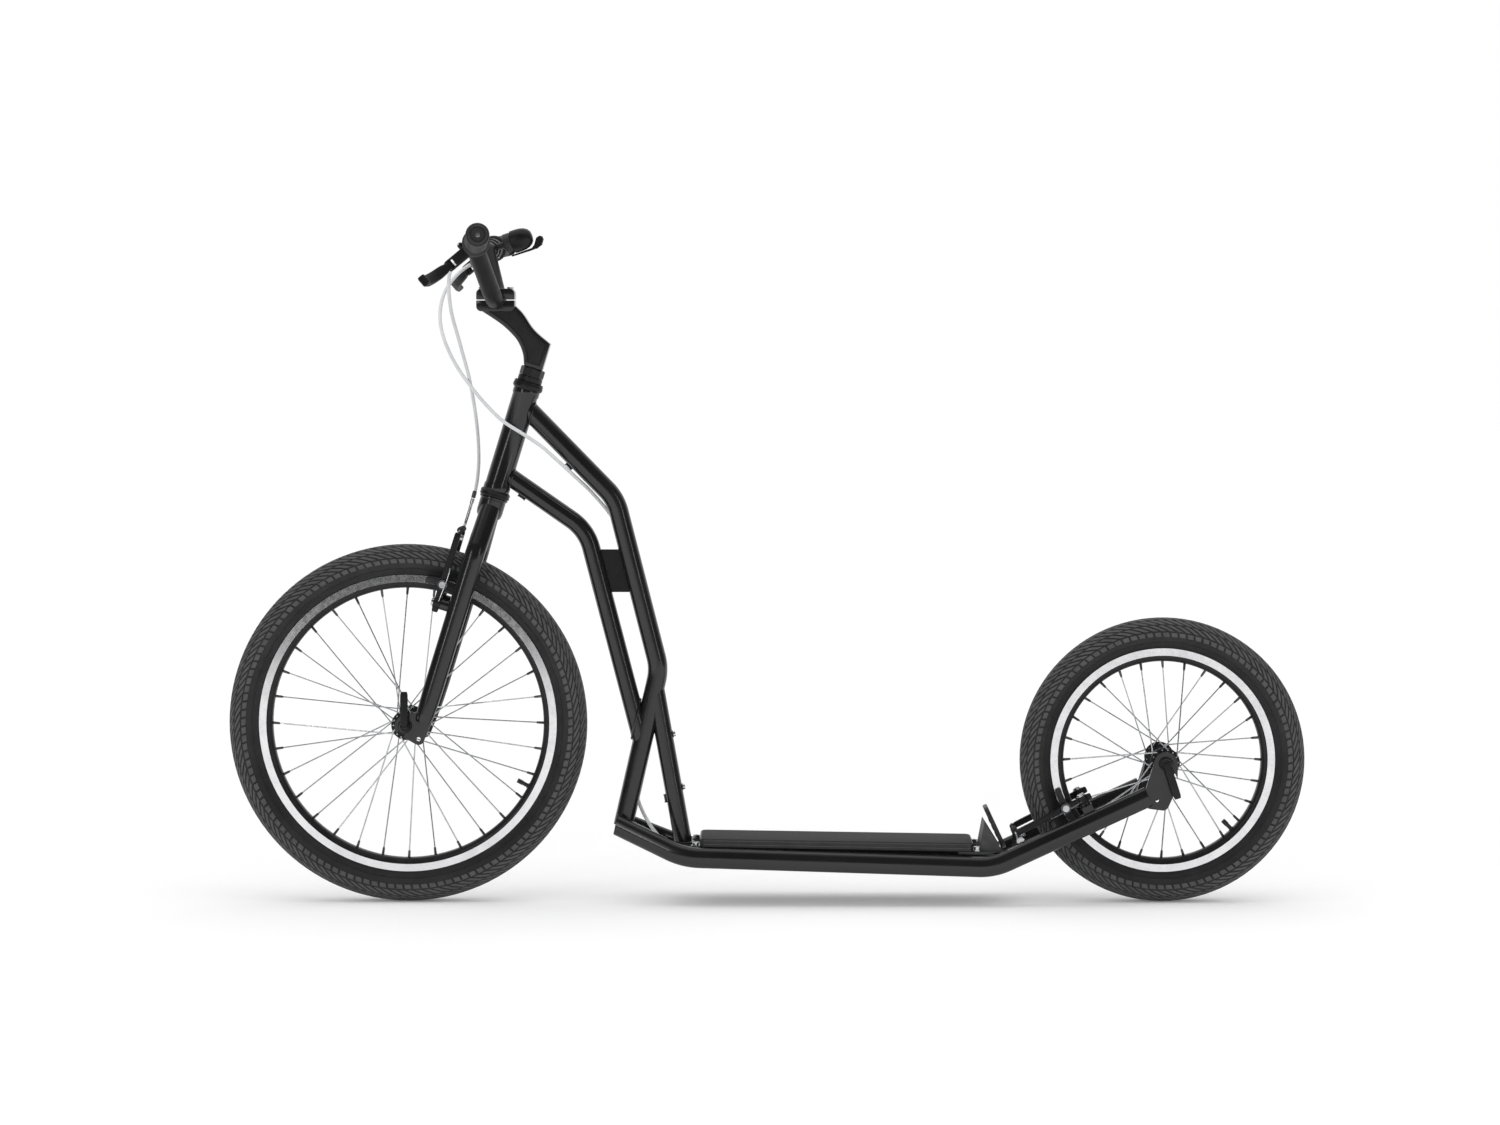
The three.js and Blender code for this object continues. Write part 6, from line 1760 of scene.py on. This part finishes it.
FLOOR_SIZE = 60
FLOOR_COLOR = (0.9, 0.9, 0.9, 1)
LIFT_LEVELS = {"From Min": 1.2, "From Max": 3.5, "To Min": 0.12, "To Max": 0.2}
ROOM_LEVEL = 0.74
ROOM_LEVELS = {"From Min": -0.1, "From Max": 0.8, "To Min": 0.06, "To Max": 1.0}
SUN_FROM = (0.3, 0.5, 4.0)
SUN_STRENGTH = 0.55
SUN_SPREAD = math.radians(80)
# Each lamp: its place, its aim, its size and its power
LAMPS = {
    "key_strip": ((-2.4, -3.2, 1.7), (-0.2, 0, 0.5), (0.35, 2.2), 16),
    "fill_strip": ((2.6, -2.6, 1.2), (0.1, 0, 0.5), (0.3, 2.0), 8),
    "overhead": ((0.0, -0.4, 3.0), (0, 0, 0), (3.6, 0.7), 8),
}
CAMERA_PLACE = Vector((0.0, -5.6, 0.8))
CAMERA_AIM = Vector((-0.0239, 0, 0.4816))
CAMERA_LENS = 95.1


def wired(tree, kind, links=(), output=0, **settings):
    """One output of a new node, with its links and its settings."""
    made = tree.nodes.new(kind)
    for key, value in settings.items():
        setattr(made, key, value)
    for socket, source in dict(links).items():
        if isinstance(source, bpy.types.NodeSocket):
            tree.links.new(source, made.inputs[socket])
        else:
            made.inputs[socket].default_value = source
    return made.outputs[output]


def ray_is(tree, *kinds):
    """One where a ray is of any of the kinds, else zero."""
    seen = tree.nodes.new("ShaderNodeLightPath")
    total = seen.outputs[kinds[0]]
    for kind in kinds[1:]:
        total = wired(tree, "ShaderNodeMath", {0: total, 1: seen.outputs[kind]}, operation="MAXIMUM")
    return total


def stage():
    """A white floor that seems a little brighter to the camera and in mirrors, and more so far away."""
    bpy.ops.mesh.primitive_plane_add(size=FLOOR_SIZE)
    floor = bpy.context.object
    floor.name = "floor"
    material = bpy.data.materials.new("studio_floor")
    material.use_nodes = True
    tree = material.node_tree
    shader = tree.nodes["Principled BSDF"]
    for socket, value in (("Base Color", FLOOR_COLOR), ("Roughness", 1), ("Specular IOR Level", 0)):
        shader.inputs[socket].default_value = value
    place = wired(tree, "ShaderNodeTexCoord", output="Object")
    distance = wired(tree, "ShaderNodeVectorMath", {0: place}, "Value", operation="LENGTH")
    spread = wired(tree, "ShaderNodeMapRange", {"Value": distance, **LIFT_LEVELS},
                   interpolation_type="SMOOTHSTEP")
    seen = ray_is(tree, "Is Camera Ray", "Is Glossy Ray", "Is Transmission Ray")
    lift = wired(tree, "ShaderNodeMath", {0: seen, 1: spread}, operation="MULTIPLY")
    glow = wired(tree, "ShaderNodeEmission", {"Strength": lift})
    both = wired(tree, "ShaderNodeAddShader", {0: shader.outputs["BSDF"], 1: glow})
    tree.links.new(both, tree.nodes["Material Output"].inputs["Surface"])
    floor.data.materials.append(material)


def placed(name, data, place, aim):
    """A lamp or camera at a place, turned towards an aim."""
    holder = bpy.data.objects.new(name, data)
    holder.location = place
    holder.rotation_euler = (Vector(aim) - Vector(place)).to_track_quat("-Z", "Y").to_euler()
    bpy.context.scene.collection.objects.link(holder)
    return holder


def room():
    """A white studio: the backdrop is bright, and the room in front of the object is dim."""
    world = bpy.data.worlds.new("studio")
    bpy.context.scene.world = world
    world.use_nodes = True
    tree = world.node_tree
    background = tree.nodes["Background"]
    background.inputs["Color"].default_value = (1, 1, 1, 1)
    around = wired(tree, "ShaderNodeTexCoord", output="Generated")
    toward_back = wired(tree, "ShaderNodeSeparateXYZ", {"Vector": around}, "Y")
    mirrored = wired(tree, "ShaderNodeMapRange", {"Value": toward_back, **ROOM_LEVELS},
                     interpolation_type="SMOOTHSTEP")
    glossy = ray_is(tree, "Is Glossy Ray")
    lit = wired(tree, "ShaderNodeMix", {"Factor": glossy, "A": ROOM_LEVEL, "B": mirrored})
    seen = ray_is(tree, "Is Camera Ray", "Is Transmission Ray")
    level = wired(tree, "ShaderNodeMix", {"Factor": seen, "A": lit, "B": 1.0})
    tree.links.new(level, background.inputs["Strength"])


def lights():
    sun = bpy.data.lights.new("soft_sun", "SUN")
    sun.energy = SUN_STRENGTH
    sun.angle = SUN_SPREAD
    sun.specular_factor = 0
    placed("soft_sun", sun, SUN_FROM, (0, 0, 0))
    for name, (place, aim, size, power) in LAMPS.items():
        lamp = bpy.data.lights.new(name, "AREA")
        lamp.shape = "RECTANGLE"
        lamp.size, lamp.size_y = size
        lamp.energy = power
        placed(name, lamp, place, aim)


def camera():
    data = bpy.data.cameras.new("camera")
    data.lens = CAMERA_LENS
    data.sensor_width = 36
    bpy.context.scene.camera = placed("camera", data, CAMERA_PLACE, CAMERA_AIM)


def plain_finishes():
    """The frame's own nodes get their materials here, for where one is seen in its own shape."""
    by_slot = {
        "gloss_frame": PAINT, "gloss_alloy": PAINT, "black_alloy": ALLOY, "rim": RIM_BLACK,
        "bright_steel": STEEL, "tyre": RUBBER, "grip": GRIP, "black_plastic": PLASTIC, "deck": GRIT,
        "cable": SLEEVE,
    }
    for entry in frame["record"]["subparts"]:
        mesh = frame["nodes"][entry["node"]].data
        mesh.materials.clear()
        mesh.materials.append(by_slot[entry["material_slot"]])


wheel("front", FRONT_AXLE, FRONT_TYRE_RADIUS, FRONT_HUB_HALF, spoke_count=32, valve_degrees=-28)
wheel("rear", REAR_AXLE, REAR_TYRE_RADIUS, REAR_HUB_HALF, spoke_count=28, valve_degrees=-45)
for end, axle, hub_half, body, degrees in (
    ("front", FRONT_AXLE, FRONT_HUB_HALF, "steering", 0), ("rear", REAR_AXLE, REAR_HUB_HALF, "frame", 162)
):
    skewer(end, Matrix.Translation(axle), hub_half, body)
    skewer_lever(end, Matrix.Translation(axle), hub_half, degrees)
head_tube()
main_tubes()
gusset()
strut()
rail(-1, "left_rail")
rail(1, "right_rail")
eyelet_bolts()
cable_guides()
crossmembers()
footboard()
heel_guard()
fork()
headset()
stem()
handlebar()
grips()
brake_levers()
bell()
brake("front", "steering", FRONT_BRAKE, FRONT_BAND, -1, FRONT_NOODLE_SHARES)
brake("rear", "frame", REAR_BRAKE, REAR_BAND, 1, REAR_NOODLE_SHARES)
cables()
plain_finishes()
stage()
room()
lights()
camera()
bpy.context.scene.view_settings.view_transform = "Standard"
